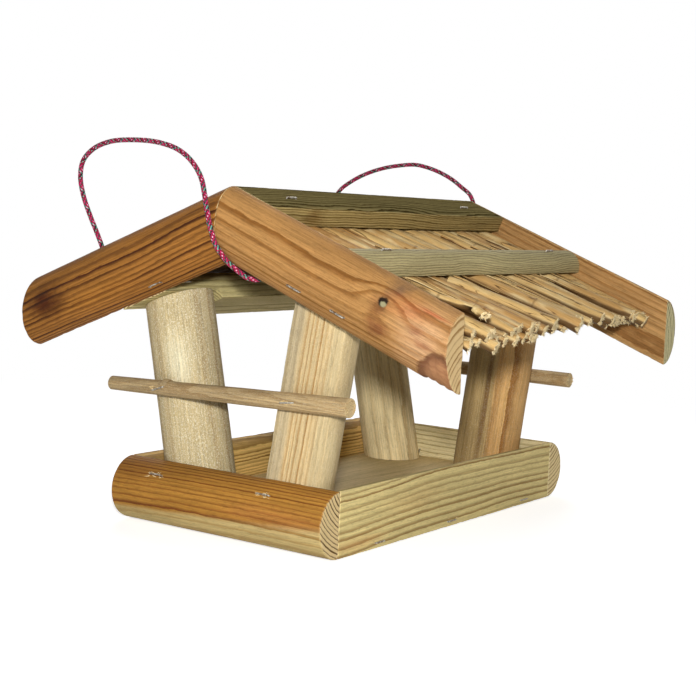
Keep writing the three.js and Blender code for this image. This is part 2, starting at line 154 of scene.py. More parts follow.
class Graph:
    """A shader tree with short calls for the nodes used here."""

    def __init__(self, tree):
        self.tree = tree
        self.count = 0

    def add(self, kind, *values, **settings):
        """A node with its first inputs filled in order."""
        node = self.tree.nodes.new(kind)
        node.location = (180 * (self.count % 12), -220 * (self.count // 12))
        self.count += 1
        for key, value in settings.items():
            setattr(node, key, value)
        for socket, value in zip(node.inputs, values):
            self.feed(socket, value)
        return node

    def feed(self, socket, value):
        if isinstance(value, bpy.types.NodeSocket):
            self.tree.links.new(value, socket)
        else:
            socket.default_value = value

    def math(self, operation, *values):
        return self.add("ShaderNodeMath", *values, operation=operation).outputs[0]

    def plus(self, a, b):
        return self.math("ADD", a, b)

    def minus(self, a, b):
        return self.math("SUBTRACT", a, b)

    def times(self, a, b):
        return self.math("MULTIPLY", a, b)

    def vector(self, operation, *values):
        node = self.add("ShaderNodeVectorMath", *values, operation=operation)
        return node.outputs["Value" if operation in ("LENGTH", "DOT_PRODUCT") else "Vector"]

    def scaled(self, vector, scale):
        node = self.add("ShaderNodeVectorMath", vector, operation="SCALE")
        self.feed(node.inputs["Scale"], scale)
        return node.outputs["Vector"]

    def join(self, x, y, z):
        return self.add("ShaderNodeCombineXYZ", x, y, z).outputs[0]

    def same(self, value):
        """A vector of one value three times."""
        return self.join(value, value, value)

    def mix(self, share, a, b, blend="MIX"):
        """A colour between two, or their product."""
        node = self.add("ShaderNodeMix", share, data_type="RGBA", blend_type=blend)
        self.feed(node.inputs[6], a)
        self.feed(node.inputs[7], b)
        return node.outputs[2]

    def darken(self, base, amount):
        return self.mix(1.0, base, self.same(amount), "MULTIPLY")

    def between(self, share, a, b):
        """A number between two."""
        node = self.add("ShaderNodeMix", share, data_type="FLOAT")
        self.feed(node.inputs[2], a)
        self.feed(node.inputs[3], b)
        return node.outputs[0]

    def step(self, value, low, high, to_low=0.0, to_high=1.0):
        """A smooth rise of value from one level to another."""
        return self.add("ShaderNodeMapRange", value, low, high, to_low, to_high,
                        interpolation_type="SMOOTHSTEP").outputs[0]

    def noise(self, vector, detail, roughness, stretch=None, scale=1.0, colours=False, dimensions="3D"):
        """Noise on a vector, or on a number in one dimension. stretch scales the vector each way first."""
        if stretch:
            vector = self.vector("MULTIPLY", vector, stretch)
        node = self.add("ShaderNodeTexNoise", noise_dimensions=dimensions)
        self.feed(node.inputs["W" if dimensions == "1D" else "Vector"], vector)
        self.feed(node.inputs["Scale"], scale)
        self.feed(node.inputs["Detail"], detail)
        self.feed(node.inputs["Roughness"], roughness)
        return node.outputs[1 if colours else 0]

    def value_of(self, name):
        return self.add("ShaderNodeAttribute", attribute_name=name).outputs["Fac"]

    def place(self):
        """Object coordinates in millimetres."""
        return self.scaled(self.add("ShaderNodeTexCoord").outputs["Object"], 1 / MM)

    def facing(self, direction):
        """1 where the surface faces a direction, -1 where it faces away."""
        return self.vector("DOT_PRODUCT", self.add("ShaderNodeTexCoord").outputs["Normal"], direction)

    def use(self, group, **values):
        node = self.add("ShaderNodeGroup")
        node.node_tree = group
        for name, value in values.items():
            self.feed(node.inputs[name.replace("_", " ").capitalize()], value)
        return node.outputs

    def bump(self, shader, height, strength, depth):
        """Relief on a shader, depth in millimetres."""
        node = self.add("ShaderNodeBump")
        node.inputs["Strength"].default_value = strength
        node.inputs["Distance"].default_value = depth * MM
        self.feed(node.inputs["Height"], height)
        self.feed(shader["Normal"], node.outputs[0])

    def studio_seen(self):
        """1 where the white studio is looked at, straight or in gloss or glass."""
        rays = self.add("ShaderNodeLightPath").outputs
        seen = self.math("MAXIMUM", rays["Is Camera Ray"], rays["Is Glossy Ray"])
        return self.math("MAXIMUM", seen, rays["Is Transmission Ray"])


def shader_group(name, inputs, outputs):
    """A node group with named inputs, each with its value, and number outputs. Gives the graph to fill it
    with, what it is given and what it puts out."""
    tree = bpy.data.node_groups.new(name, "ShaderNodeTree")
    for title, value in inputs.items():
        kind = "NodeSocketVector" if isinstance(value, tuple) else "NodeSocketFloat"
        tree.interface.new_socket(title, in_out="INPUT", socket_type=kind).default_value = value
    for title in outputs:
        tree.interface.new_socket(title, in_out="OUTPUT", socket_type="NodeSocketFloat")
    g = Graph(tree)
    return g, g.add("NodeGroupInput").outputs, g.add("NodeGroupOutput").inputs


def start_material(name):
    material = bpy.data.materials.new(name)
    material.use_nodes = True
    shader = next(n for n in material.node_tree.nodes if n.type == "BSDF_PRINCIPLED")
    return material, Graph(material.node_tree), shader.inputs


# --- Wood -----------------------------------------------------------------------------------------
# The groups work in millimetres, with the grain along z.

def make_growth_rings():
    """Rings round a pith on the z axis, with dark late wood at each ring's outer edge."""
    g, given, out = shader_group("growth rings", {
        "Vector": ORIGIN, "Ring width": 3.5, "Wave": 4.0, "Wave length": 120.0, "Late share": 0.3,
        "Push": 0.0, "Seed": 0.0}, ["Late", "Tone"])
    place = g.vector("ADD", given["Vector"], g.same(given["Seed"]))
    slow = g.noise(g.scaled(place, g.math("DIVIDE", 1.0, given["Wave length"])), 1.5, 0.4, colours=True)
    wave = g.scaled(g.vector("SUBTRACT", slow, HALF), g.times(given["Wave"], 2.0))
    quick = g.noise(place, 3.0, 0.6, (0.16, 0.16, 0.075), colours=True)
    jag = g.scaled(g.vector("SUBTRACT", quick, HALF), 1.3)
    bent = g.vector("ADD", g.vector("ADD", given["Vector"], wave), jag)
    distance = g.plus(g.vector("LENGTH", g.vector("MULTIPLY", bent, (1.0, 1.0, 0.0))), given["Push"])
    good_years = g.noise(g.plus(distance, given["Seed"]), 2.0, 0.5, scale=0.05, dimensions="1D")
    count = g.plus(g.math("DIVIDE", distance, given["Ring width"]), g.times(good_years, 2.2))
    within = g.math("FRACT", count)
    chance = g.add("ShaderNodeTexWhiteNoise", noise_dimensions="1D")
    g.feed(chance.inputs["W"], g.plus(g.math("FLOOR", count), given["Seed"]))
    strength = g.step(chance.outputs[0], 0.0, 1.0, 0.45, 1.0)
    begin = g.minus(1.0, g.times(given["Late share"], 1.7))
    full = g.minus(1.0, g.times(given["Late share"], 0.45))
    late = g.times(g.step(within, begin, full), g.step(within, 0.93, 1.0, 1.0, 0.0))
    g.feed(out["Late"], g.times(late, strength))
    g.feed(out["Tone"], g.noise(place, 3.0, 0.55, (0.02, 0.02, 0.006)))
    return g.tree


def make_wood_fibre():
    """Fine streaks, pores, speckle and flecks along z."""
    g, given, out = shader_group("wood fibre", {"Vector": ORIGIN, "Fineness": 1.0, "Seed": 0.0},
                                 ["Streak", "Pores", "Speckle", "Flecks"])
    place = g.scaled(g.vector("ADD", given["Vector"], g.same(given["Seed"])), given["Fineness"])
    for title, stretch, detail, roughness, low, high in (
            ("Streak", (0.9, 0.9, 0.022), 5.0, 0.68, 0.3, 0.72),
            ("Pores", (3.4, 3.4, 0.22), 2.0, 0.5, 0.5, 0.78),
            ("Speckle", (1.5, 1.5, 0.95), 2.5, 0.65, 0.45, 0.72),
            ("Flecks", (0.85, 0.85, 0.2), 4.0, 0.75, 0.5, 0.68)):
        g.feed(out[title], g.step(g.noise(place, detail, roughness, stretch), low, high))
    return g.tree


def make_stain_side():
    """A mask that rises along a direction, with a wandering edge."""
    g, given, out = shader_group("stain side", {
        "Vector": ORIGIN, "Direction": (1.0, 0.0, 0.0), "Start": 0.0, "Softness": 3.0, "Wander": 4.0,
        "Seed": 0.0}, ["Mask"])
    place = g.vector("ADD", given["Vector"], g.same(given["Seed"]))
    drift = g.minus(g.noise(place, 3.0, 0.6, (0.05, 0.05, 0.011)), 0.5)
    along = g.vector("DOT_PRODUCT", given["Vector"], given["Direction"])
    level = g.plus(along, g.times(drift, g.times(given["Wander"], 2.0)))
    low = g.minus(given["Start"], given["Softness"])
    g.feed(out["Mask"], g.step(level, low, g.plus(given["Start"], given["Softness"])))
    return g.tree


def make_stain_patch():
    """A mask round a centre with its own size each way and a ragged edge. Reach is 1 at that edge."""
    g, given, out = shader_group("stain patch", {
        "Vector": ORIGIN, "Centre": ORIGIN, "Size": (10.0, 10.0, 20.0), "Softness": 0.4, "Ragged": 0.3,
        "Seed": 0.0}, ["Mask", "Reach"])
    away = g.vector("DIVIDE", g.vector("SUBTRACT", given["Vector"], given["Centre"]), given["Size"])
    place = g.vector("ADD", g.scaled(away, 1.6), g.same(given["Seed"]))
    drift = g.times(g.minus(g.noise(place, 4.0, 0.6), 0.5), g.times(given["Ragged"], 2.0))
    reach = g.plus(g.vector("LENGTH", away), drift)
    g.feed(out["Mask"], g.step(reach, g.minus(1.0, given["Softness"]), 1.0, 1.0, 0.0))
    g.feed(out["Reach"], reach)
    return g.tree


def make_worn_edge():
    """A mask along a piece's softened edges, broken up by noise."""
    g, given, out = shader_group("worn edge", {"Vector": ORIGIN}, ["Mask"])
    broken = g.noise(given["Vector"], 3.0, 0.65, (0.5, 0.5, 0.12))
    g.feed(out["Mask"], g.times(g.step(g.value_of("rim"), 0.25, 0.9), g.step(broken, 0.42, 0.66)))
    return g.tree


growth_rings = make_growth_rings()
wood_fibre = make_wood_fibre()
stain_side = make_stain_side()
stain_patch = make_stain_patch()
worn_edge = make_worn_edge()

PALE_FIBRE_AND_GLINT = colour("f3eed6")
WORN_WOOD = colour("d8c79a")
HOLLOW_RIM_SHADE = colour("5a3320")
KNOT_HEART = colour("20140a")
KNOT_EDGE = colour("7c5636")
KNOT_GLINT = colour("928c69")


def grain_axes(along, out, pith):
    """A turn that takes world millimetres to grain axes: z along the grain, y out. pith is in the world."""
    z = Vector(along).normalized()
    y = (Vector(out) - z * z.dot(Vector(out))).normalized()
    return Matrix((y.cross(z), y, z)), Vector(pith)


def grain_vector(g, grain):
    """Object coordinates in millimetres, turned so that z runs along the grain and the pith lies on it."""
    turn, pith = grain
    mapping = g.add("ShaderNodeMapping", vector_type="POINT")
    g.feed(mapping.inputs["Vector"], g.add("ShaderNodeTexCoord").outputs["Object"])
    mapping.inputs["Scale"].default_value = (1 / MM, 1 / MM, 1 / MM)
    mapping.inputs["Rotation"].default_value = turn.to_euler()
    mapping.inputs["Location"].default_value = -(turn @ pith)
    return mapping.outputs[0]


def timber(name, grain, early, late, ring=3.5, wave=4.0, wave_length=120.0, share=0.3, depth=1.0, fibre=0.3,
           speckle=0.0, seed=0.0, sides=(), patches=(), knots=(), scars=(), wear=0.3,
           cut=("e2cc98", "8e6a38"), sheen=0.14):
    """Solid wood, with early and late for its colours. Places are world millimetres.

    sides: (direction, start, softness, wander, early, late) of a zone that begins along a direction.
    patches: (centre, size, softness, ragged, strength, early, late) of a zone round a centre.
    knots: (centre, size), each with a painted glint. scars: (centre, size, colour) of a bare hollow, with
    painted shade inside its rim. cut: the sawn ends' early and late.
    """
    material, g, shader = start_material(name)
    place = grain_vector(g, grain)
    turn, pith = grain

    def zone(centre, size, softness, ragged, shift, aside=ORIGIN):
        middle = turn @ (Vector(centre) - pith) + Vector(aside)
        return g.use(stain_patch, vector=place, centre=middle, size=size, softness=softness, ragged=ragged,
                     seed=seed + shift)

    push = 0.0
    hearts = []
    for centre, size in knots:
        swerve = zone(centre, (size * 3.2, size * 3.2, size * 6.5), 1.0, 0.12, 0.0)["Mask"]
        push = g.plus(push, g.times(swerve, -1.5 * size))
        knot = zone(centre, (size, size * 3, size * 1.15), 0.5, 0.3, 3.0)
        # The off-centre pale grey-green spot in the knot is a painted glint.
        glint = zone(centre, (size * 0.5, size * 3, size * 0.7), 0.5, 0.3, 5.0, (-0.26 * size, 0, 0.26 * size))
        hearts.append((knot, glint))

    rings = g.use(growth_rings, vector=place, ring_width=ring, wave=wave, wave_length=wave_length,
                  late_share=share, push=push, seed=seed)
    lines = g.use(wood_fibre, vector=place, seed=seed)
    dark = g.times(rings["Late"], depth)
    base = g.mix(dark, colour(early), colour(late))
    for direction, start, softness, wander, early_here, late_here in sides:
        mask = g.use(stain_side, vector=place, direction=turn @ Vector(direction),
                     start=start - Vector(direction).dot(pith), softness=softness, wander=wander,
                     seed=seed)["Mask"]
        base = g.mix(mask, base, g.mix(dark, colour(early_here), colour(late_here)))
    for centre, size, softness, ragged, strength, early_here, late_here in patches:
        mask = g.times(zone(centre, size, softness, ragged, 7.0)["Mask"], strength)
        base = g.mix(mask, base, g.mix(dark, colour(early_here), colour(late_here)))

    base = g.darken(base, g.step(rings["Tone"], 0.3, 0.7, 0.86, 1.1))
    dim = g.minus(1.0, g.times(lines["Streak"], fibre))
    dim = g.times(dim, g.minus(1.0, g.times(lines["Pores"], 0.16)))
    dim = g.times(dim, g.minus(1.04, g.times(lines["Flecks"], 0.2)))
    base = g.darken(base, dim)
    # Pale flecks: bare fibre, and painted flash glints where the speckle is high.
    if speckle:
        base = g.mix(g.times(lines["Speckle"], speckle), base, PALE_FIBRE_AND_GLINT)

    for centre, size, bare in scars:
        scar = zone(centre, size, 0.06, 0.2, 11.0)
        base = g.mix(g.times(scar["Mask"], 0.7), base, colour(bare))
        # Painted shade along the inside of the hollow's rim, fading inwards: the shadow of its overhanging
        # edge.
        rim = g.times(g.step(scar["Reach"], 0.6, 1.0), g.step(scar["Reach"], 1.0, 1.12, 1.0, 0.0))
        base = g.mix(g.times(rim, 0.75), base, HOLLOW_RIM_SHADE)
    for knot, glint in hearts:
        heart = g.mix(g.step(knot["Reach"], 0.5, 0.95), KNOT_HEART, KNOT_EDGE)
        base = g.mix(knot["Mask"], base, g.mix(glint["Mask"], heart, KNOT_GLINT))

    sawn = g.mix(g.step(g.times(dark, dim), 0.05, 0.6), colour(cut[0]), colour(cut[1]))
    square = g.math("ABSOLUTE", g.facing(turn.row[2]))
    base = g.mix(g.step(square, 0.82, 0.95), base, sawn)
    worn = g.use(worn_edge, vector=place)["Mask"]
    g.feed(shader["Base Color"], g.mix(g.times(worn, wear), base, WORN_WOOD))

    g.feed(shader["Roughness"], g.between(g.times(lines["Streak"], 0.8), 0.62, 0.85))
    relief = g.minus(g.times(dark, 0.5), g.times(lines["Streak"], 0.55))
    relief = g.minus(relief, g.times(lines["Pores"], 0.35))
    relief = g.minus(relief, g.times(lines["Flecks"], 0.5))
    g.bump(shader, relief, 0.7, 0.45)
    shader["Specular IOR Level"].default_value = sheen
    return material


# --- Cords ----------------------------------------------------------------------------------------
# Each point of a route is (x, out from the rafters' plane, up from the ridge), as in the part's source.

CORD_RADIUS = 2.0
CORD_SIDES = 32
CORD_SPACING = 0.55
PATH_STRIDE = 6
CARRIERS = 8
BRAID_LEAD = 15.0
BRAID_RELIEF = 0.34
UV_RUN = 100.0  # millimetres of cord to one unit of its UV map
CORD_START = [
    (32.7, -2.5, -51.6), (32.9, -2.5, -58), (29.8, -2.9, -64.2), (23.8, -1.7, -67.7), (17.5, 2.4, -67.1),
    (13.5, 7.7, -63), (9.8, 13.3, -58), (6.8, 17.4, -52.9), (4.3, 21.2, -47.3), (2, 23.4, -41.5),
    (-0.3, 25.2, -33),
]
FRONT_CORD_LOOP = [
    (-4.4, 25.2, -20), (-10.5, 21.5, -8), (-18, 17.5, 4.5), (-28, 16, 15.5), (-43.5, 14, 24.5),
    (-65.5, 12, 30), (-95.5, 9, 32), (-122, 7, 30.5), (-142, 5, 24.5), (-154.5, 3, 15),
    (-158.5, 1.3, 3), (-156.5, -0.2, -11), (-150, -1.5, -26.5), (-141.5, -2.3, -42),
    (-135.5, -2.3, -53), (-131, -2.3, -65),
]
BACK_CORD_LOOP = [
    (-4, 24.2, -17), (-6.5, 20.5, -5), (-10, 17, 5.5), (-18, 14, 12.5), (-28.5, 13.5, 19.5),
    (-42.5, 13, 26), (-57, 12, 30.5), (-69, 11, 32.5), (-84, 9, 31.5), (-102, 7, 28.5),
    (-120, 5, 23), (-136, 3.5, 15.5), (-150.5, 2, 5), (-157, 0, -9), (-154.5, -1.5, -24),
    (-146.5, -2.3, -39), (-138, -2.3, -53), (-132, -2.3, -65),
]


def cord_points(loop, end):
    return [Vector((x, end * (RAFTER_PLANE + out), RIDGE + up)) for x, out, up in CORD_START + loop]


def smooth_route(points, spacing):
    """Points at an even spacing on a smooth curve through the given ones, and its length. The part's source
    draws its cords with the same curve."""
    steps = 40
    chain = [points[0] * 2 - points[1], *points, points[-1] * 2 - points[-2]]
    fine = []
    for p0, p1, p2, p3 in zip(chain, chain[1:], chain[2:], chain[3:]):
        t0 = 0.0
        t1 = t0 + max((p1 - p0).length, 1e-6) ** 0.5
        t2 = t1 + max((p2 - p1).length, 1e-6) ** 0.5
        t3 = t2 + max((p3 - p2).length, 1e-6) ** 0.5
        for i in range(steps):
            t = t1 + (t2 - t1) * i / steps
            a1 = p0 * ((t1 - t) / (t1 - t0)) + p1 * ((t - t0) / (t1 - t0))
            a2 = p1 * ((t2 - t) / (t2 - t1)) + p2 * ((t - t1) / (t2 - t1))
            a3 = p2 * ((t3 - t) / (t3 - t2)) + p3 * ((t - t2) / (t3 - t2))
            b1 = a1 * ((t2 - t) / (t2 - t0)) + a2 * ((t - t0) / (t2 - t0))
            b2 = a2 * ((t3 - t) / (t3 - t1)) + a3 * ((t - t1) / (t3 - t1))
            fine.append(b1 * ((t2 - t) / (t2 - t1)) + b2 * ((t - t1) / (t2 - t1)))
    fine.append(points[-1])
    lengths = [0.0]
    for a, b in zip(fine, fine[1:]):
        lengths.append(lengths[-1] + (b - a).length)
    total = lengths[-1]
    count = round(total / spacing)
    route, j = [], 0
    for i in range(count + 1):
        want = total * i / count
        while j < len(lengths) - 2 and lengths[j + 1] < want:
            j += 1
        part = (want - lengths[j]) / max(lengths[j + 1] - lengths[j], 1e-9)
        route.append(fine[j].lerp(fine[j + 1], min(max(part, 0.0), 1.0)))
    return route, total


def braid_height(turn, run):
    """Height of the braid's strands, from 0 to 1, at a share of a turn and a run along the cord."""
    a = turn * CARRIERS + run / BRAID_LEAD * CARRIERS
    b = -turn * CARRIERS + run / BRAID_LEAD * CARRIERS
    over = (math.floor(a) + math.floor(b)) % 2 == 0
    across, along = (a, b) if over else (b, a)
    swell = math.cos(math.pi * (across % 1 - 0.5)) ** 0.6
    crest = math.cos(math.pi * (along % 1 - 0.5)) ** 0.4
    return swell * (0.35 + 0.65 * crest)


def cord_mesh(name, route):
    """A tube with the braid's relief and rounded ends, with turns and run along it as its UV map."""
    rows, sides = len(route), CORD_SIDES
    end_shrink = (0.35, 0.75, 0.93)
    normal = Vector((0, 0, 1)).cross(route[1] - route[0]).normalized()
    corners, runs, run = [], [], 0.0
    for i, point in enumerate(route):
        ahead = (route[min(i + 1, rows - 1)] - route[max(i - 1, 0)]).normalized()
        normal = (normal - ahead * normal.dot(ahead)).normalized()
        side = ahead.cross(normal)
        if i:
            run += (point - route[i - 1]).length
        runs.append(run)
        from_end = min(i, rows - 1 - i)
        shrink = end_shrink[from_end] if from_end < len(end_shrink) else 1.0
        for j in range(sides):
            turn = j / sides
            angle = 2 * math.pi * turn
            radius = (CORD_RADIUS - BRAID_RELIEF + BRAID_RELIEF * braid_height(turn, run)) * shrink
            corners.append(point + (normal * math.cos(angle) + side * math.sin(angle)) * radius)
    faces = tube_faces(rows, sides)
    walls = len(faces)
    faces.append(tuple(reversed(range(sides))))
    faces.append(tuple(range((rows - 1) * sides, rows * sides)))
    mesh = new_mesh(name, corners, faces)
    braid = mesh.uv_layers.new(name="braid")
    for polygon in mesh.polygons:
        closes_turn = polygon.index < walls and polygon.index % sides == sides - 1
        for loop in polygon.loop_indices:
            i, j = divmod(mesh.loops[loop].vertex_index, sides)
            braid.data[loop].uv = (1.0 if closes_turn and j == 0 else j / sides, runs[i] / UV_RUN)
    mesh.shade_smooth()
    return mesh


def make_braid():
    """Strands of a round braid from a UV map: which strand lies on top, and how high it stands."""
    g, given, out = shader_group("round braid", {"Vector": ORIGIN, "Carriers": 8.0, "Lead": 15.0},
                                 ["Over", "Strand", "Height", "Crossing"])
    turn, run, _ = g.add("ShaderNodeSeparateXYZ", given["Vector"]).outputs
    run = g.times(g.math("DIVIDE", g.times(run, UV_RUN), given["Lead"]), given["Carriers"])
    turns = g.times(turn, given["Carriers"])
    one_way, other_way = g.plus(run, turns), g.minus(run, turns)
    one_strand, other_strand = g.math("FLOOR", one_way), g.math("FLOOR", other_way)
    over = g.math("LESS_THAN", g.math("FLOORED_MODULO", g.plus(one_strand, other_strand), 2.0), 0.5)
    across = g.between(over, g.math("FRACT", other_way), g.math("FRACT", one_way))
    along = g.between(over, g.math("FRACT", one_way), g.math("FRACT", other_way))
    strand = g.between(over, g.math("FLOORED_MODULO", other_strand, given["Carriers"]),
                       g.math("FLOORED_MODULO", one_strand, given["Carriers"]))
    swell = g.math("SINE", g.times(across, math.pi))
    crest = g.math("SINE", g.times(along, math.pi))
    g.feed(out["Over"], over)
    g.feed(out["Strand"], g.math("DIVIDE", g.plus(strand, 0.5), given["Carriers"]))
    g.feed(out["Height"], g.times(swell, g.plus(0.3, g.times(crest, 0.7))))
    g.feed(out["Crossing"], across)
    return g.tree


round_braid = make_braid()
YARNS_ONE_WAY = ["b00d40", "8e0f36", "d22a68", "9a0f3a", "5a9a88", "141c1e", "b81850", "780c2e"]
YARNS_OTHER_WAY = ["b01446", "e8a8c0", "8e0d34", "161f21", "70b09c", "9e103c", "cc3f74", "34605a"]


def yarn_colours(g, strand, yarns):
    ramp = g.add("ShaderNodeValToRGB", strand)
    ramp.color_ramp.interpolation = "CONSTANT"
    elements = ramp.color_ramp.elements
    while len(elements) < len(yarns):
        elements.new(len(elements) / len(yarns))
    for i, yarn in enumerate(yarns):
        elements[i].position = i / len(yarns)
        elements[i].color = colour(yarn)
    return ramp.outputs[0]


def make_cord_yarn():
    material, g, shader = start_material("cord_yarn")
    uv = g.add("ShaderNodeUVMap", uv_map="braid").outputs[0]
    braid = g.use(round_braid, vector=uv, carriers=float(CARRIERS), lead=BRAID_LEAD)
    base = g.mix(braid["Over"], yarn_colours(g, braid["Strand"], YARNS_OTHER_WAY),
                 yarn_colours(g, braid["Strand"], YARNS_ONE_WAY))
    fine = g.join(g.times(braid["Crossing"], 9.0), g.times(braid["Strand"], 40.0), 0.0)
    filament = g.noise(fine, 2.0, 0.5)
    shade = g.times(g.step(braid["Height"], 0.0, 0.6, 0.35, 1.0), g.step(filament, 0.3, 0.7, 0.82, 1.06))
    g.feed(shader["Base Color"], g.darken(base, shade))
    g.feed(shader["Roughness"], g.step(braid["Height"], 0.0, 1.0, 0.85, 0.5))
    g.bump(shader, g.plus(braid["Height"], g.times(filament, 0.4)), 0.5, 0.2)
    shader["Specular IOR Level"].default_value = 0.2
    shader["Sheen Weight"].default_value = 0.04
    return material


cord_yarn = make_cord_yarn()


def cord(name, loop, end):
    route, length = smooth_route(cord_points(loop, end), CORD_SPACING)
    piece = put(f"braided_{name}", cord_mesh(name, route), "cord", name, cord_yarn)
    path = [list(point * MM) for point in [*route[::PATH_STRIDE], route[-1]]]
    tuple(path[0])


cord("cord_front", FRONT_CORD_LOOP, -1)
cord("cord_back", BACK_CORD_LOOP, 1)


# --- Timber shapes --------------------------------------------------------------------------------

def half_round(width, depth, steps=26):
    """Corners of a section with its flat side on b = 0 and its round back towards +b."""
    angles = [math.pi * i / steps for i in range(steps + 1)]
    return [(width / 2 * math.cos(angle), depth * math.sin(angle)) for angle in angles]


def circle(radius, steps):
    angles = [2 * math.pi * i / steps for i in range(steps)]
    return [(radius * math.cos(angle), radius * math.sin(angle)) for angle in angles]


def soften(corners, radius, spacing=3.5, steps=4):
    """A closed outline with its sharp corners rounded and its sides divided. Gives points with their rim
    share, 1 on a rounded corner."""
    count = len(corners)
    result = []
    for i in range(count):
        here = Vector(corners[i])
        back = Vector(corners[i - 1]) - here
        ahead = Vector(corners[(i + 1) % count]) - here
        turn = math.pi - back.angle(ahead)
        if turn < math.radians(40):
            result.append((here, 0.0))
            continue
        reach = min(radius * math.tan(turn / 2), back.length * 0.45, ahead.length * 0.45)
        start = here + back.normalized() * reach
        stop = here + ahead.normalized() * reach
        if back.length > 4 * radius:
            result.append((start + back.normalized() * radius * 0.7, 0.0))
        for k in range(steps + 1):
            t = k / steps
            result.append((start * (1 - t) ** 2 + here * 2 * t * (1 - t) + stop * t ** 2, 1.0))
        if ahead.length > 4 * radius:
            result.append((stop + ahead.normalized() * radius * 0.7, 0.0))
    full = []
    for (p, rim), (q, _) in zip(result, result[1:] + result[:1]):
        full.append((p, rim))
        parts = int((q - p).length // spacing)
        full.extend((p.lerp(q, k / (parts + 1)), 0.0) for k in range(1, parts + 1))
    return full


def inset(points, amount):
    """An outline's points drawn in by an amount square to it."""
    if not amount:
        return points
    moved = []
    for before, here, after in zip(points[-1:] + points[:-1], points, points[1:] + points[:1]):
        along = (after - before).normalized()
        moved.append(here + Vector((-along.y, along.x)) * amount)
    return moved


def face_outwards(mesh):
    """Turns a closed mesh's faces out if it was swept the other way round."""
    mesh.calc_loop_triangles()
    volume = 0.0
    for triangle in mesh.loop_triangles:
        p, q, r = (mesh.vertices[i].co for i in triangle.vertices)
        volume += p.dot(q.cross(r))
    if volume < 0:
        mesh.flip_normals()


# How far along and how far drawn in each ring of a softened end is, as shares of its radius.
END_ROUND = ((0.0, 1.0), (0.12, 0.5), (0.5, 0.12), (1.0, 0.0), (1.9, 0.0))
END_RINGS = (0.8, 0.55, 0.28)
BREAK = 0.0006  # half the length of a sharp step in the section, as a share of the bar


def sweep(name, outline, length, place, radius=1.0, spacing=4.5, rough=0.35, dents=0.8, seed=0, shape=None,
          breaks=()):
    """A bar of a counter-clockwise outline along its length. place turns (a, b, share, offset) into
    millimetres, with share from 0 to 1 and offset from the nearer end. The surface is worn inwards, by slow
    waves (rough), by dents at its edges and by shape, which gives a depth at a place and may raise it where
    that is below 0. breaks are shares at which the section steps."""
    points = [point for point, _ in outline]
    centre = sum(points, Vector((0, 0))) / len(points)
    around = len(points)
    shift = Vector((seed * 17.3, seed * 5.1, seed * 9.7))
    count = max(2, round(length / spacing))
    shares = [i / count for i in range(1, count)]
    shares += [share + step for share in breaks for step in (-BREAK, BREAK)]
    start = [(0.0, part * radius, drawn * radius) for part, drawn in END_ROUND]
    stop = [(1.0, -part * radius, drawn * radius) for part, drawn in reversed(END_ROUND)]
    stations = start + [(share, 0.0, 0.0) for share in sorted(shares)] + stop
    corners, rims = [], []
    for share, offset, drawn in stations:
        for point, (_, rim) in zip(inset(points, drawn), outline):
            edge = 1.0 if drawn else rim
            here = place(point.x, point.y, share, offset)
            slow = noise.noise((here + shift) / 34) * 0.5 + 0.5
            quick = max(0.0, noise.noise((here + shift) / 6.5) - 0.12)
            worn = rough * slow + dents * edge * quick + (shape(here) if shape else 0.0)
            moved = point + (centre - point).normalized() * worn
            corners.append(place(moved.x, moved.y, share, offset))
            rims.append(edge)
    faces = tube_faces(len(stations), around)
    for row, share, forward in ((0, 0.0, False), (len(stations) - 1, 1.0, True)):
        ring = inset(points, stations[row][2])
        previous = [row * around + j for j in range(around)]
        for scale in END_RINGS:
            current = []
            for point in ring:
                a, b = centre + (point - centre) * scale
                saw = 0.22 * (noise.noise((place(a, b, share, 0.0) + shift) / 3.5) * 0.5 + 0.5)
                current.append(len(corners))
                corners.append(place(a, b, share, -saw if forward else saw))
            for j in range(around):
                k = (j + 1) % around
                quad = (previous[j], previous[k], current[k], current[j])
                faces.append(quad if forward else tuple(reversed(quad)))
            previous = current
        middle = len(corners)
        corners.append(place(centre.x, centre.y, share, 0.0))
        for j in range(around):
            k = (j + 1) % around
            edge = (previous[j], previous[k]) if forward else (previous[k], previous[j])
            faces.append((*edge, middle))
    mesh = new_mesh(name, corners, faces)
    write_values(mesh, "rim", rims + [0.0] * (len(corners) - len(rims)))
    mesh.shade_smooth()
    face_outwards(mesh)
    return mesh


def bar_along(start, stop, at):
    """A place function for a straight bar: at(a, b, t) with t in millimetres."""
    return lambda a, b, share, offset: at(a, b, start + (stop - start) * share + offset)


# --- Posts and perches: their sizes, and the places of their staples -------------------------------

Post = namedtuple("Post", "side end radius lean planed foot_share perch_share crown_tilt seed")
POSTS = {
    "front_left": Post(-1, -1, 27.4, 12, 0, 0.363, -0.084, 19, 8),
    "front_right": Post(1, -1, 26.1, 9, 16, -0.256, -0.216, 6, 9),
    "back_left": Post(-1, 1, 25.8, 12, 0, -0.355, -0.144, 14, 10),
    "back_right": Post(1, 1, 28.4, 6.7, 0, -0.417, 0.067, -8, 11),
}
# Each end's perch by its left and right ends, given as (x, z, radius).
PERCHES = {-1: ((-120, 105.5, 5.7), (111, 111.5, 7.3)), 1: ((-118, 108, 6.0), (113, 107, 6.8))}
FOOT_ANGLE = math.radians(41)  # round an end rail, from its level to a foot's staple
FLOOR_STAPLE_SHARES = (-0.675, -0.037, 0.718)
FLOOR_STAPLE_RISE = 4.5


def foot_reach(post):
    """How far from the middle a leaning post's axis meets the floor."""
    tilt = math.radians(post.lean)
    rail = math.hypot(SIDE_RAIL_DEPTH * math.cos(tilt), RAIL_HEIGHT / 2 * math.sin(tilt))
    drop = math.tan(tilt) * (RAIL_HEIGHT / 2 - FLOOR_TOP - FIT)
    return TRAY_HALF - (rail + FIT + post.radius) / math.cos(tilt) - drop


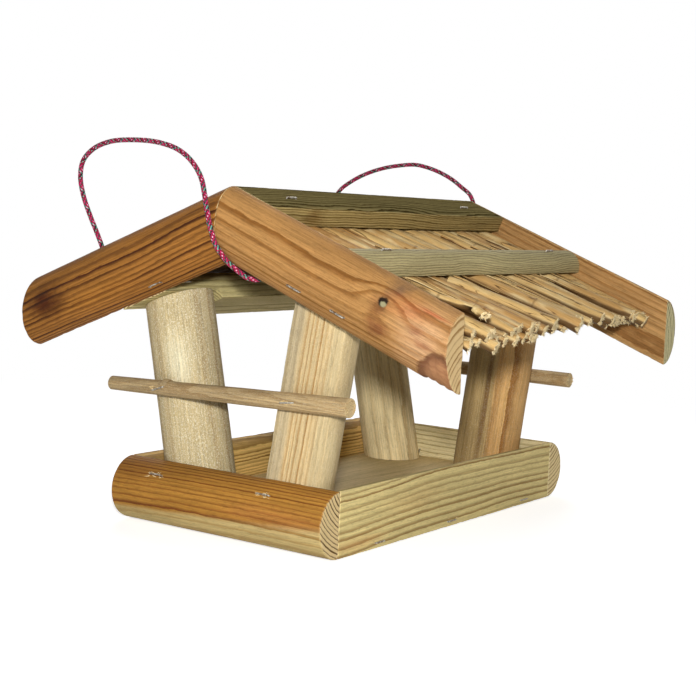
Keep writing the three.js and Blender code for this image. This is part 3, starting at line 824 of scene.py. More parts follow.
def foot_staple_place(post):
    x = post.side * (foot_reach(post) + post.foot_share * post.radius)
    y = post.end * (FLOOR_HALF + FIT + END_RAIL_DEPTH * math.cos(FOOT_ANGLE))
    return Vector((x, y, RAIL_HEIGHT / 2 * (1 + math.sin(FOOT_ANGLE))))


def perch_staple_place(post):
    left, right = PERCHES[post.end]
    rise = (left[1] + right[1]) / 2 - FLOOR_TOP - FIT
    lean = math.tan(math.radians(post.lean))
    x = post.side * (foot_reach(post) + lean * rise + post.perch_share * post.radius)
    along = (x - left[0]) / (right[0] - left[0])
    stick = left[2] + (right[2] - left[2]) * along
    return Vector((x, post.end * (FLOOR_HALF + FIT + 2 * stick), left[1] + (right[1] - left[1]) * along))


# --- Torn wood ------------------------------------------------------------------------------------

def make_torn_fibre():
    """Fresh pale fibre, where a staple or a saw has torn the surface."""
    material, g, shader = start_material("torn_wood")
    fibre = g.noise(g.place(), 3.0, 0.6, (0.5, 2.4, 2.4))
    g.feed(shader["Base Color"], g.mix(g.step(fibre, 0.35, 0.65), colour("a87c42"), colour("ecd9a6")))
    g.feed(shader["Roughness"], g.step(fibre, 0.2, 0.8, 0.7, 0.95))
    g.bump(shader, fibre, 0.6, 0.2)
    shader["Specular IOR Level"].default_value = 0.1
    return material


torn_fibre = make_torn_fibre()


def sliver(root, along, out, length, width, lift):
    """Corners and faces of one splinter that rises from the wood to a point."""
    rooted = 0.35
    across = out.cross(along).normalized()
    out = along.cross(across).normalized()
    corners, faces = [], []
    for part, share in ((0.0, 0.8), (0.35, 1.0), (0.7, 0.6)):
        middle = root + along * length * part + out * (lift * part ** 1.6 - rooted * (1 - part))
        half = width * share / 2
        corners += [middle - across * half, middle + across * half, middle + out * half * 0.8]
    corners.append(root + along * length + out * lift)
    for row in (0, 3):
        for j in range(3):
            k = (j + 1) % 3
            faces.append((row + j, row + k, row + 3 + k, row + 3 + j))
    faces += [(6, 7, 9), (7, 8, 9), (8, 6, 9), (2, 1, 0)]
    return corners, faces


def splinter(mesh, slivers):
    """The mesh with slivers of torn wood on it, in a second material slot."""
    corners = [v.co / MM for v in mesh.vertices]
    faces = [tuple(p.vertices) for p in mesh.polygons]
    rims = [0.0] * len(corners)
    mesh.attributes["rim"].data.foreach_get("value", rims)
    whole = len(faces)
    for parts in slivers:
        first = len(corners)
        more, sides = sliver(*parts)
        corners += more
        faces += [tuple(first + i for i in side) for side in sides]
    made = new_mesh(mesh.name, corners, faces)
    write_values(made, "rim", rims + [0.0] * (len(corners) - len(rims)))
    for polygon in made.polygons:
        polygon.use_smooth = polygon.index < whole
        polygon.material_index = 0 if polygon.index < whole else 1
    return made


def torn_round(spot, along, out, count, seed, reach=6.0):
    """Slivers on both sides of a driven staple's crown."""
    rng = random.Random(seed)
    along, out = Vector(along), Vector(out)
    across = out.cross(along).normalized()
    made = []
    for _ in range(count):
        way = along * rng.choice((-1, 1))
        root = spot + way * rng.uniform(-2.0, reach) + across * rng.uniform(-1.6, 1.6)
        turned = (way + across * rng.uniform(-0.5, 0.5)).normalized()
        length, width, lift = rng.uniform(2.6, 6.0), rng.uniform(0.6, 1.4), rng.uniform(0.4, 2.0)
        made.append((root, turned, out.normalized(), length, width, lift))
    return made


# --- Tray -----------------------------------------------------------------------------------------

def end_rail(name, end, seed, material):
    def at(a, b, t):
        return Vector((t, end * (FLOOR_HALF + FIT + b), RAIL_HEIGHT / 2 + a))

    mesh = sweep(name, soften(half_round(RAIL_HEIGHT, END_RAIL_DEPTH), 1.0), 2 * TRAY_HALF,
                 bar_along(-TRAY_HALF, TRAY_HALF, at), seed=seed)
    out = Vector((0, end * math.cos(FOOT_ANGLE), math.sin(FOOT_ANGLE)))
    slivers = []
    for label, post in POSTS.items():
        if post.end == end:
            slivers += torn_round(foot_staple_place(post) - out * 0.4, (1, 0, 0), out, 15, f"{name} {label}")
    put(f"timber_{name}", splinter(mesh, slivers), "end_rail", name, material, torn_fibre)


def side_rail(name, side, seed, material):
    def at(a, b, t):
        return Vector((side * (TRAY_HALF - b), t, RAIL_HEIGHT / 2 + a))

    mesh = sweep(name, soften(half_round(RAIL_HEIGHT, SIDE_RAIL_DEPTH), 0.8), 2 * FLOOR_HALF,
                 bar_along(-FLOOR_HALF, FLOOR_HALF, at), radius=0.6, seed=seed)
    slivers = []
    for i, share in enumerate(FLOOR_STAPLE_SHARES):
        spot = Vector((side * (TRAY_HALF - 0.4), share * FLOOR_HALF, FLOOR_STAPLE_RISE))
        slivers += torn_round(spot, (0, 1, 0), (side, 0, 0), 5, f"{name} {i}")
    put(f"timber_{name}", splinter(mesh, slivers), "side_rail", name, material, torn_fibre)


def tray_floor(material):
    rise = (FLOOR_TOP - RAIL_HEIGHT / 2) / (RAIL_HEIGHT / 2)
    half = TRAY_HALF - SIDE_RAIL_DEPTH * math.sqrt(1 - rise * rise) - FIT
    corners = [(-half, 0), (half, 0), (half, FLOOR_TOP), (-half, FLOOR_TOP)]
    place = bar_along(-FLOOR_HALF, FLOOR_HALF, lambda a, b, t: Vector((a, t, b)))
    mesh = sweep("tray_floor", soften(corners, 0.6, spacing=6), 2 * FLOOR_HALF, place, radius=0.4, spacing=7,
                 rough=0.15, seed=6)
    put("timber_tray_floor", mesh, "tray_floor", "tray_floor", material)


ALONG_X, ALONG_Y = (1, 0, 0), (0, 1, 0)
end_rail("rail_front", -1, 1, timber(
    "front_rail_wood", grain_axes(ALONG_X, (0, -1, 0), (0, -140, 66)), "b98438", "7c441a", ring=2.9, wave=3.4,
    wave_length=240, share=0.32, fibre=0.32, seed=2.0, cut=("d6bd8a", "5e4320"),
    sides=[((0.06, 0, -1), -18, 3.0, 3.0, "d2ba7e", "ae894b")],
    patches=[((-96, -175, 42), (16, 40, 60), 0.9, 0.4, 0.5, "8a5524", "5e3410"),
             ((60, -186, 26), (12, 40, 70), 0.9, 0.5, 0.45, "c07e44", "8c4a20")]))
end_rail("rail_back", 1, 2, timber(
    "back_rail_wood", grain_axes(ALONG_X, (0, 1, 0), (0, 150, 70)), "ead9a5", "a8935a", ring=3.4, wave=4.0,
    wave_length=200, share=0.3, depth=0.9, fibre=0.26, speckle=0.12, seed=5.0))
side_rail("rail_left", -1, 3, timber(
    "left_rail_wood", grain_axes(ALONG_Y, (1, 0, 0), (-60, 0, 95)), "ecc272", "7c5520", ring=2.6, wave=3.0,
    wave_length=150, share=0.4, fibre=0.3, seed=12.0))
side_rail("rail_right", 1, 4, timber(
    "right_rail_wood", grain_axes(ALONG_Y, (1, 0, 0), (52, 10, 92)), "e6d291", "987641", ring=4.3, wave=7.0,
    wave_length=190, share=0.36, fibre=0.26, seed=9.0,
    patches=[((101, -60, 30), (14, 60, 60), 0.9, 0.5, 0.35, "d6b074", "a87c3c"),
             ((101, -140, 8), (7, 60, 50), 0.9, 0.5, 0.5, "d8a868", "a8703a")]))
tray_floor(timber(
    "floor_wood", grain_axes(ALONG_Y, (0, 0, 1), (12, 0, -35)), "e0c78f", "c6ad78", ring=6.0, wave=6.0,
    wave_length=200, share=0.3, depth=0.6, fibre=0.25, seed=15.0))


# --- Posts ----------------------------------------------------------------------------------------

def set_post(label, material):
    """A leaning pole from the floor to the purlin's seat, planed flat on its outer side where planed says."""
    post = POSTS[label]
    tilt = math.radians(post.lean)
    reach = foot_reach(post)
    foot = FLOOR_TOP + FIT
    seat = RIDGE - (PURLIN_SEAT + FIT) / math.cos(PITCH) - foot
    middle = FLOOR_HALF - post.radius + post.planed

    def place(a, b, share, offset):
        x = a / math.cos(tilt)
        top = (seat - math.tan(PITCH) * (reach + x)) / (1 + math.tan(PITCH) * math.tan(tilt))
        z = top * share + offset
        return Vector((post.side * (reach + x + math.tan(tilt) * z), post.end * (middle + b), foot + z))

    corners = [(a, min(b, post.radius - post.planed)) for a, b in circle(post.radius, 60)]
    mesh = sweep(f"post_{label}", soften(corners, 1.0, spacing=3.0), seat, place, radius=0.8, rough=0.45,
                 seed=post.seed)
    put(f"timber_post_{label}", mesh, "post", f"post_{label}", material)


def post_grain(label, aside, out):
    """Grain along a post, with the pith aside of its axis and further out."""
    post = POSTS[label]
    tilt = math.radians(post.lean)
    x = post.side * (foot_reach(post) + aside)
    y = post.end * (FLOOR_HALF - post.radius + post.planed + out)
    return grain_axes((post.side * math.sin(tilt), 0, math.cos(tilt)), (0, post.end, 0), (x, y, FLOOR_TOP))


# The front-left post's strong speckle is painted flash glints, and its pale patch on the upper right is a
# painted highlight.
set_post("front_left", timber(
    "front_left_post_wood", post_grain("front_left", 10, -14), "c9b484", "a5824a", ring=3.6, wave=2.5,
    wave_length=200, share=0.34, depth=0.8, fibre=0.4, speckle=0.7, seed=21.0,
    sides=[((-0.85, 0.5, -0.18), 13.5, 5.0, 4.0, "958a64", "7a6e48")],
    patches=[((-60, -160, 128), (14, 30, 34), 0.9, 0.4, 0.75, "ece2bc", "d8c794")]))
set_post("front_right", timber(
    "front_right_post_wood", post_grain("front_right", -52, -8), "dfc490", "b2874a", ring=4.6, wave=3.2,
    wave_length=190, share=0.36, fibre=0.24, speckle=0.2, seed=24.0,
    sides=[((-1, 0, 0.158), -36, 3.0, 3.0, "c1ae88", "a8946c"),
           ((1, 0, -0.158), 62, 2.6, 2.6, "d8c292", "bea474")]))
set_post("back_left", timber(
    "back_left_post_wood", post_grain("back_left", -5, 3), "efd8a2", "c0a068", ring=2.2, wave=1.4,
    wave_length=260, share=0.36, depth=0.8, fibre=0.42, speckle=0.2, seed=27.0))
set_post("back_right", timber(
    "back_right_post_wood", post_grain("back_right", 8, 0), "e0af6c", "a06c30", ring=3.2, wave=2.0,
    wave_length=220, share=0.36, fibre=0.42, speckle=0.16, seed=30.0,
    sides=[((-0.818, -0.574, 0.096), -110.5, 3.0, 2.0, "bd9f68", "98794a")],
    patches=[((64, 110, 90), (3.2, 60, 90), 0.7, 0.4, 0.75, "7a5228", "55361a")]))


# --- Rafters --------------------------------------------------------------------------------------

CHIP_X, CHIP_Z = 190, 136
CHIP_LENGTH, CHIP_HEIGHT, CHIP_DEPTH = 17, 23, 2.2


def rafter(name, end, side, seed, material, shape=None):
    def at(a, b, t):
        z = RIDGE - RAFTER_PLUMB / 2 + a - math.tan(PITCH) * t
        return Vector((side * t, end * (RAFTER_PLANE + b), z))

    mesh = sweep(name, soften(half_round(RAFTER_PLUMB, RAFTER_DEPTH), 1.0, spacing=2.4), EAVE,
                 bar_along(FIT / 2, EAVE, at), radius=0.8, spacing=2.2, seed=seed, shape=shape)
    put(f"timber_{name}", mesh, "rafter", name, material)


def rafter_grain(end, side, down, out):
    """Grain along the rafter, with the pith at a depth below the top edge and out from the flat side."""
    return grain_axes((side * math.cos(PITCH), 0, -math.sin(PITCH)), (0, end, 0),
                      (0, end * (RAFTER_PLANE + out), RIDGE - down / math.cos(PITCH)))


def chipped(here):
    """A scoop split out of the near right rafter's lower end."""
    reach = math.hypot((here.x - CHIP_X) / CHIP_LENGTH, (here.z - CHIP_Z) / CHIP_HEIGHT)
    depth = min(1.0, max(0.0, (1.0 - reach) / 0.2))
    return CHIP_DEPTH * depth * depth * (3 - 2 * depth) * (0.8 + 0.2 * math.sin(here.x * 0.9))


rafter("rafter_front_left", -1, -1, 12, timber(
    "front_left_rafter_wood", rafter_grain(-1, -1, 56, -16), "ab7232", "482108", ring=3.2, wave=5.0,
    wave_length=130, share=0.42, fibre=0.44, seed=41.0, wear=0.2,
    patches=[((-174, -192, 167), (20, 60, 32), 0.95, 0.6, 1.0, "56290c", "331706"),
             ((-120, -190, 176), (10, 40, 60), 0.8, 0.5, 0.6, "b07630", "8a5420")]))
rafter("rafter_front_right", -1, 1, 13, timber(
    "front_right_rafter_wood", rafter_grain(-1, 1, 62, -16), "bf8d52", "875521", ring=4.4, wave=5.0,
    wave_length=170, share=0.34, depth=0.9, fibre=0.4, seed=44.0, wear=0.2, cut=("cdb180", "93703e"),
    knots=[((147.8, -191.3, 189.2), 4.8)], scars=[((CHIP_X, -188, CHIP_Z), (22, 60, 18), "a07050")],
    patches=[((180, -190, 166), (34, 60, 34), 0.95, 0.3, 0.85, "dcae80", "b47e4b"),
             ((155.5, -191, 198), (9, 60, 12), 0.95, 0.6, 0.85, "86654a", "66452c"),
             ((146, -191, 186), (13, 60, 13), 0.95, 0.4, 0.6, "8a5636", "65391e"),
             ((167, -190, 186), (11, 60, 26), 0.95, 0.4, 0.5, "cd7c4e", "aa5430"),
             ((144.5, -193, 171.5), (9, 60, 14), 0.8, 0.6, 0.8, "8f5632", "6a3618"),
             ((182, -190, 163), (4, 60, 12), 0.8, 0.6, 0.6, "a86a48", "86492c"),
             ((186, -188, 183), (1.6, 60, 17), 0.8, 0.4, 0.7, "bd603c", "a04a2a"),
             ((176, -190, 172), (5, 60, 9), 0.9, 0.6, 0.6, "b3785a", "8c5236")]), chipped)
rafter("rafter_back_left", 1, -1, 14, timber(
    "back_left_rafter_wood", rafter_grain(1, -1, 60, -16), "b88a4c", "85542a", ring=3.8, wave=4.0,
    wave_length=150, share=0.3, fibre=0.3, seed=47.0))
rafter("rafter_back_right", 1, 1, 15, timber(
    "back_right_rafter_wood", rafter_grain(1, 1, 40, -40), "c99a60", "94622f", ring=2.8, wave=2.6,
    wave_length=150, share=0.34, depth=0.9, fibre=0.45, seed=50.0, cut=("d5cc9c", "4c482a")))


# --- Roof timber ----------------------------------------------------------------------------------

def on_slope(side, down, along, out):
    """A place on a roof slope: down from the ridge, along it, and out of the roof's plane."""
    x = down * math.cos(PITCH) + out * math.sin(PITCH)
    z = RIDGE - down * math.sin(PITCH) + out * math.cos(PITCH)
    return Vector((side * x, side * along, z))


def slope_grain(side, down, out):
    return grain_axes(ALONG_Y, (side * math.sin(PITCH), 0, math.cos(PITCH)), on_slope(side, down, 0, out))


def roof_bar(name, side, corners, middle, base, seed, slot, material):
    place = bar_along(-BATTEN_HALF, BATTEN_HALF, lambda a, b, t: on_slope(side, middle + a, t, base + b))
    mesh = sweep(name, soften(corners, 0.9), 2 * BATTEN_HALF, place, radius=0.6, seed=seed)
    put(f"timber_{name}", mesh, slot, name, material)


def purlin(name, side, insides, seed, material):
    """A half-round bar whose flat side is cut back over each post. The cuts begin insides from its middle,
    towards its start and its end."""
    half_at_seat = PURLIN_WIDTH / 2 * math.sqrt(1 - (SEAT_DEPTH / PURLIN_DEPTH) ** 2)

    def at(a, b, t):
        if t < -insides[0] or t > insides[1]:
            b = max(b, SEAT_DEPTH)
            a = max(-half_at_seat, min(half_at_seat, a))
        return on_slope(side, PURLIN_PLACE + a, t, b - PURLIN_BASE)

    breaks = [(BATTEN_HALF - insides[0]) / (2 * BATTEN_HALF), (BATTEN_HALF + insides[1]) / (2 * BATTEN_HALF)]
    mesh = sweep(name, soften(half_round(PURLIN_WIDTH, PURLIN_DEPTH), 0.9), 2 * BATTEN_HALF,
                 bar_along(-BATTEN_HALF, BATTEN_HALF, at), radius=0.6, seed=seed, breaks=breaks)
    put(f"timber_{name}", mesh, "purlin", name, material)


RIDGE_GAP = FIT / 2 / math.cos(PITCH)
RIDGE_SECTION = [(RIDGE_GAP, 0), (RIDGE_GAP + BATTEN * math.tan(PITCH), -BATTEN),
                 (RIDGE_BATTEN_WIDTH, -BATTEN), (RIDGE_BATTEN_WIDTH, 0)]
LIT_EDGE = RIDGE_BATTEN_WIDTH - 0.8 - RIDGE * math.sin(PITCH)  # where a ridge batten's painted highlight along its arris down the slope begins
for i, (label, side, insides) in enumerate((("left", -1, (111.1, 107.9)), ("right", 1, (126.5, 105.9)))):
    purlin(f"purlin_{label}", side, insides, 20 + i, timber(
        f"purlin_{label}_wood", slope_grain(side, 122, -80), "e2d294", "a8945a", ring=2.2, wave=3.0,
        wave_length=160, share=0.35, fibre=0.3, seed=60.0 + i))
    middle_wood = timber(
        f"middle_batten_{label}_wood", slope_grain(side, 125, -26), "c4b584", "85774c", ring=1.5, wave=6.0,
        wave_length=100, share=0.3, fibre=0.3, seed=64.0 + i)
    roof_bar(f"middle_batten_{label}", side, half_round(MIDDLE_BATTEN_WIDTH, BATTEN), MIDDLE_BATTEN_PLACE,
             -BATTEN, 22 + i, "batten", middle_wood)
    ridge_wood = timber(
        f"ridge_batten_{label}_wood", slope_grain(side, 44, -46), "9a8b5a", "413417", ring=1.9, wave=7.5,
        wave_length=130, share=0.42, fibre=0.4, seed=68.0 + i, wear=0.12, sheen=0.0,
        sides=[((side * math.cos(PITCH), 0, -math.sin(PITCH)), LIT_EDGE, 0.6, 0.3, "c4ab6e", "6a5228")],
        patches=[(on_slope(side, 38, side * -118, -8), (12, 12, 22), 0.9, 0.5, 0.7, "8a6a3c", "4a3418")])
    roof_bar(f"ridge_batten_{label}", side, RIDGE_SECTION, 0, 0, 24 + i, "batten", ridge_wood)


# --- Perches --------------------------------------------------------------------------------------

STUB_X, STUB_Z, STUB_REACH, STUB_RISE = -62, 113, 3.5, 0.28
FRAYS = 34


def perch(name, end, seed):
    """A tapered stick, torn at its right end. The front one has a cut twig's stub on its upper side."""
    left, right = PERCHES[end]
    length = right[0] - left[0]

    def place(a, b, share, offset):
        x, z, radius = (low + (high - low) * (share + offset / length) for low, high in zip(left, right))
        return Vector((x, end * (FLOOR_HALF + FIT + radius) + radius * b, z + radius * a))

    def stub(here):
        away = math.hypot(here.x - STUB_X, here.z - STUB_Z)
        return -STUB_RISE * math.exp(-(away / STUB_REACH) ** 2)

    outline = [(Vector(corner), 0.0) for corner in circle(1.0, 24)]
    mesh = sweep(name, outline, length, place, radius=0.1, rough=0.06, dents=0.05, spacing=3, seed=seed,
                 shape=stub if end < 0 else None)
    slivers = []
    for label, post in POSTS.items():
        if post.end == end:
            spot = perch_staple_place(post) - Vector((0, end * 0.2, 0))
            slivers += torn_round(spot, ALONG_X, (0, end, 0), 4, f"{name} {label}", 5.0)
    rng = random.Random(seed)
    tip = Vector((right[0] - 1.2, end * (FLOOR_HALF + FIT + right[2]), right[1]))
    for i in range(FRAYS):
        angle = 2 * math.pi * (i + rng.random()) / FRAYS
        out = Vector((0, math.cos(angle), math.sin(angle)))
        root = tip + out * right[2] * rng.uniform(0.55, 0.93)
        slivers.append((root, Vector(ALONG_X) + out * rng.uniform(0, 0.25), out, rng.uniform(1.6, 3.0),
                        rng.uniform(0.5, 1.1), rng.uniform(-0.3, 0.4)))
    grain = grain_axes(ALONG_X, (0, 0, 1), (0, end * (FLOOR_HALF + left[2]), 107))
    wood = timber(
        f"{name}_wood", grain, "c3a778", "a98a5c", ring=1.2, wave=0.5, wave_length=60, share=0.4, fibre=0.45,
        speckle=0.2, seed=80.0 + seed, cut=("cdb68a", "9c8154"))
    put(f"timber_{name}", splinter(mesh, slivers), "perch", name, wood, torn_fibre)


perch("perch_front", -1, 30)
perch("perch_back", 1, 31)


# --- Geometry-node trees --------------------------------------------------------------------------

class Maker:
    """A geometry node tree with named inputs, built with short calls."""

    def __init__(self, name, inputs):
        self.tree = bpy.data.node_groups.new(name, "GeometryNodeTree")
        interface = self.tree.interface
        interface.new_socket("Geometry", in_out="INPUT", socket_type="NodeSocketGeometry")
        self.identifiers = {}
        for title, kind, value in inputs:
            socket = interface.new_socket(title, in_out="INPUT", socket_type=f"NodeSocket{kind}")
            if value is not None:
                socket.default_value = value
            self.identifiers[title] = socket.identifier
        interface.new_socket("Geometry", in_out="OUTPUT", socket_type="NodeSocketGeometry")
        self.given = self.tree.nodes.new("NodeGroupInput").outputs
        self.sink = self.tree.nodes.new("NodeGroupOutput").inputs[0]

    def feed(self, socket, value):
        if isinstance(value, bpy.types.NodeSocket):
            self.tree.links.new(value, socket)
        else:
            socket.default_value = value

    def node(self, kind, settings=None, **values):
        """A node with its settings, and its inputs filled by name."""
        node = self.tree.nodes.new(kind)
        for key, value in (settings or {}).items():
            setattr(node, key, value)
        for title, value in values.items():
            title = title.replace("_", " ")
            self.feed(next(s for s in node.inputs if s.enabled and s.name == title), value)
        return node

    def pair(self, kind, operation, a, b):
        """What a node puts out for its first two inputs."""
        node = self.node(kind, {"operation": operation})
        self.feed(node.inputs[0], a)
        self.feed(node.inputs[1], b)
        return node.outputs[0]

    def out(self, node, title=None):
        return next(s for s in node.outputs if s.enabled and title in (None, s.name))

    def value_of(self, name):
        node = self.node("GeometryNodeInputNamedAttribute", {"data_type": "FLOAT"}, Name=name)
        return self.out(node, "Attribute")

    def random(self, kind, low, high):
        node = self.node("FunctionNodeRandomValue", {"data_type": kind}, Min=low, Max=high,
                         Seed=self.given["Seed"])
        return self.out(node)

    def extrude(self, mesh, chosen, depth):
        return self.node("GeometryNodeExtrudeMesh", {"mode": "FACES"}, Mesh=mesh, Selection=chosen,
                         Offset_Scale=depth, Individual=True)

    def finish(self, geometry):
        self.tree.links.new(geometry, self.sink)


def grow(mesh, maker, values):
    """The plain mesh that a tree makes from a carrier mesh."""
    carrier = bpy.data.objects.new("carrier", mesh)
    bpy.context.collection.objects.link(carrier)
    modifier = carrier.modifiers.new("maker", "NODES")
    modifier.node_group = maker.tree
    for title, value in values.items():
        modifier[maker.identifiers[title]] = value
    bpy.context.view_layer.update()
    scene_state = bpy.context.evaluated_depsgraph_get()
    made = bpy.data.meshes.new_from_object(carrier.evaluated_get(scene_state), preserve_all_data_layers=True,
                                           depsgraph=scene_state)
    bpy.data.objects.remove(carrier)
    return made


# --- Reeds ----------------------------------------------------------------------------------------
# Places on a slope are (down, along, out), as on_slope takes them.

def make_reed_tubes():
    """Hollow stems along the carrier's edges, with torn fibres where its tip value is high. Its lengths are
    in metres."""
    m = Maker("reed tubes", [
        ("Sides", "Int", 12),
        ("Flatness", "Float", 0.85),
        ("Wall share", "Float", 0.5),
        ("Hollow depth", "Float", 0.002),
        ("Raggedness", "Float", 0.0013),
        ("Fibre density", "Float", 1500000.0),
        ("Fibre length", "Float", 0.0024),
        ("Fibre radius", "Float", 0.00032),
        ("Seed", "Int", 4),
        ("Skin", "Material", None),
        ("Pith", "Material", None),
    ])
    given, out = m.given, m.out
    tip = m.value_of("tip")
    lines = m.node("GeometryNodeMeshToCurve", Mesh=given["Geometry"])
    upright = m.node("GeometryNodeSetCurveNormal", {"mode": "Z_UP"}, Curve=out(lines))
    ring = m.node("GeometryNodeCurvePrimitiveCircle", {"mode": "RADIUS"}, Resolution=given["Sides"],
                  Radius=1.0)
    squash = m.node("ShaderNodeCombineXYZ", X=1.0, Y=given["Flatness"], Z=1.0)
    section = m.node("GeometryNodeTransform", Geometry=out(ring), Scale=out(squash))
    tube = m.node("GeometryNodeCurveToMesh", Curve=out(upright), Profile_Curve=out(section),
                  Scale=m.value_of("radius"), Fill_Caps=True)
    torn = m.node("ShaderNodeVectorMath", {"operation": "SCALE"},
                  Vector=m.random("FLOAT_VECTOR", (-1.0, -1.0, -1.0), (1.0, 1.0, 1.0)),
                  Scale=m.pair("ShaderNodeMath", "MULTIPLY", tip, given["Raggedness"]))
    tube = m.node("GeometryNodeSetPosition", Geometry=out(tube), Offset=out(torn))

    neighbours = m.node("GeometryNodeInputMeshFaceNeighbors")
    round_face = m.node("FunctionNodeCompare", {"data_type": "INT", "operation": "GREATER_THAN"},
                        A=out(neighbours, "Vertex Count"), B=5)
    at_tip = m.node("FunctionNodeCompare", {"data_type": "FLOAT", "operation": "GREATER_THAN"}, A=tip, B=0.9)
    cap = m.pair("FunctionNodeBooleanMath", "AND", out(round_face), out(at_tip))
    rim = m.extrude(out(tube), cap, 0.0)
    wall = m.node("GeometryNodeScaleElements", {"domain": "FACE"}, Geometry=out(rim),
                  Selection=out(rim, "Top"), Scale=given["Wall share"])
    inwards = m.pair("ShaderNodeMath", "MULTIPLY", given["Hollow depth"], -1.0)
    deep = m.extrude(out(wall), out(rim, "Top"), inwards)
    skinned = m.node("GeometryNodeSetMaterial", Geometry=out(deep), Material=given["Skin"])
    inner = m.pair("FunctionNodeBooleanMath", "OR", out(rim, "Side"), out(deep, "Side"))
    pithy = m.node("GeometryNodeSetMaterial", Geometry=out(skinned), Selection=inner, Material=given["Pith"])

    fibres_on = m.node("GeometryNodeDistributePointsOnFaces", {"distribute_method": "RANDOM"}, Mesh=out(tube),
                       Selection=cap, Density=given["Fibre density"], Seed=given["Seed"])
    spike = m.node("GeometryNodeMeshCone", Vertices=3, Radius_Top=0.0, Radius_Bottom=given["Fibre radius"],
                   Depth=given["Fibre length"])
    turned = m.node("FunctionNodeRotateRotation", {"rotation_space": "LOCAL"},
                    Rotation=out(fibres_on, "Rotation"),
                    Rotate_By=m.random("FLOAT_VECTOR", (-1.1, -1.1, 0.0), (1.1, 1.1, 6.2)))
    tufts = m.node("GeometryNodeInstanceOnPoints", Points=out(fibres_on, "Points"),
                   Instance=out(spike, "Mesh"), Rotation=out(turned), Scale=m.random("FLOAT", 0.4, 1.3))
    tufts = m.node("GeometryNodeSetMaterial", Geometry=out(tufts), Material=given["Pith"])

    joined = m.node("GeometryNodeJoinGeometry")
    m.feed(joined.inputs[0], out(pithy))
    m.feed(joined.inputs[0], out(tufts))
    real = m.node("GeometryNodeRealizeInstances", Geometry=out(joined))
    m.finish(out(m.node("GeometryNodeSetShadeSmooth", Geometry=out(real))))
    return m


reed_tubes = make_reed_tubes()
REED_SLANT = math.radians(12)
REED_FLATNESS = 0.74
MAT_HALF = RAFTER_PLANE - 6.2
MAT_START = 16.0
MAT_REACH = 217.0

# Each layer of stems: its level, its spacing and the factors that vary it, how much the slant varies in
# degrees, the stems' radii, how far its tips draw back away from the mat's start, and how far before that its
# first stem would lie.
ReedLayer = namedtuple("ReedLayer", "level spacing variation fan radii set_back first")
REED_LAYERS = (
    ReedLayer(-27.2, 8.8, (0.9, 1.06), 0.7, (4.5, 5.2), 13, 44),
    ReedLayer(-21.4, 14.0, (0.75, 1.2), 5.0, (5.0, 8.2), 5, 39),
)
STRAIGHTENED = 46  # the room beside the far rafter in which stems lose their slant
STEM_SECTIONS = 17
LOOSE_STRIPS = 34
STRIP_SECTIONS = 9
STRIP_LEVEL = -15.2
UNDER_BATTEN_LEVEL = -15.6
UNDER_BATTENS = ((20, 22), (MIDDLE_BATTEN_PLACE, 17))  # their middles and halves, down the slope

# Odd stems of the right slope, each by its places with a radius and a joint's share: a short broken one that
# lies on the rest, a thick one, and one that sticks out below.
ODD_REEDS = (
    [((168, -124.6, -12.5), 3.6, 0.0), ((180, -118.5, -11.6), 4.0, 0.0), ((189.5, -113.5, -10.8), 4.1, 0.3),
     ((190.8, -112.8, -10.7), 4.6, 1.0), ((192.1, -113.4, -10.6), 4.1, 0.3),
     ((204.2, -118.6, -9.4), 4.0, 0.0)],
    [((128.5, -48.9, -19.6), 6.4, 0.0), ((150, -40.7, -18.8), 7.0, 0.0), ((180, -29.2, -18.2), 7.2, 0.0),
     ((200, -21.5, -18.0), 7.2, 0.0), ((210.4, -17.6, -18.0), 7.4, 0.0)],
    [((150, -128, -27.0), 5.4, 0.0), ((190, -119.5, -27.4), 5.8, 0.0), ((208, -115.9, -27.8), 6.0, 0.0),
     ((218, -113.9, -28.4), 6.2, 0.0)],
)


def reed_skin(name, side):
    """Dry reed: long streaks down the slope, each stem with a colour of its own, and painted shade on each
    stem's flanks and underside.
    """
    material, g, shader = start_material(name)
    level = side * math.cos(PITCH)
    grain = grain_axes((level, level * math.tan(REED_SLANT), -math.sin(PITCH)), (0, 0, 1), (0, 0, RIDGE))
    place = grain_vector(g, grain)
    fibre = g.use(wood_fibre, vector=place, fineness=1.3, seed=3.0)
    patchy = g.noise(place, 3.0, 0.6, (0.12, 0.12, 0.03))
    base = g.mix(g.value_of("stem"), colour("dcb876"), colour("b08248"))
    base = g.mix(g.step(patchy, 0.45, 0.7, 0.0, 0.7), base, colour("ead49f"))
    base = g.darken(base, g.minus(1.0, g.times(fibre["Streak"], 0.26)))
    base = g.mix(g.times(g.step(g.value_of("joint"), 0.3, 0.95), 0.5), base, colour("6b4a22"))
    drift = g.noise(place, 1.0, 0.4, (0.2, 0.2, 0.005))
    split = g.step(g.math("ABSOLUTE", g.minus(drift, 0.5)), 0.004, 0.02, 1.0, 0.0)
    base = g.mix(g.times(split, g.step(patchy, 0.4, 0.55, 0.9, 0.2)), base, colour("4a2f14"))
    # Painted shade: each stem darkens where its surface turns away from the slope's top, on its flanks and
    # underside, to deepen the gaps between stems.
    upwards = g.facing((side * math.sin(PITCH), 0.0, math.cos(PITCH)))
    g.feed(shader["Base Color"], g.mix(g.step(upwards, -0.2, 0.55, 0.9, 0.0), base, colour("4e3418")))
    g.feed(shader["Roughness"], g.between(fibre["Streak"], 0.45, 0.75))
    g.bump(shader, g.times(fibre["Streak"], -1.0), 0.5, 0.3)
    shader["Specular IOR Level"].default_value = 0.2
    return material


def make_reed_pith():
    material, g, shader = start_material("reed_pith")
    crumbs = g.noise(g.place(), 4.0, 0.7, scale=1.1)
    g.feed(shader["Base Color"], g.mix(g.step(crumbs, 0.35, 0.65), colour("dfc182"), colour("fff0c8")))
    g.bump(shader, crumbs, 0.8, 0.5)
    shader["Roughness"].default_value = 0.9
    return material


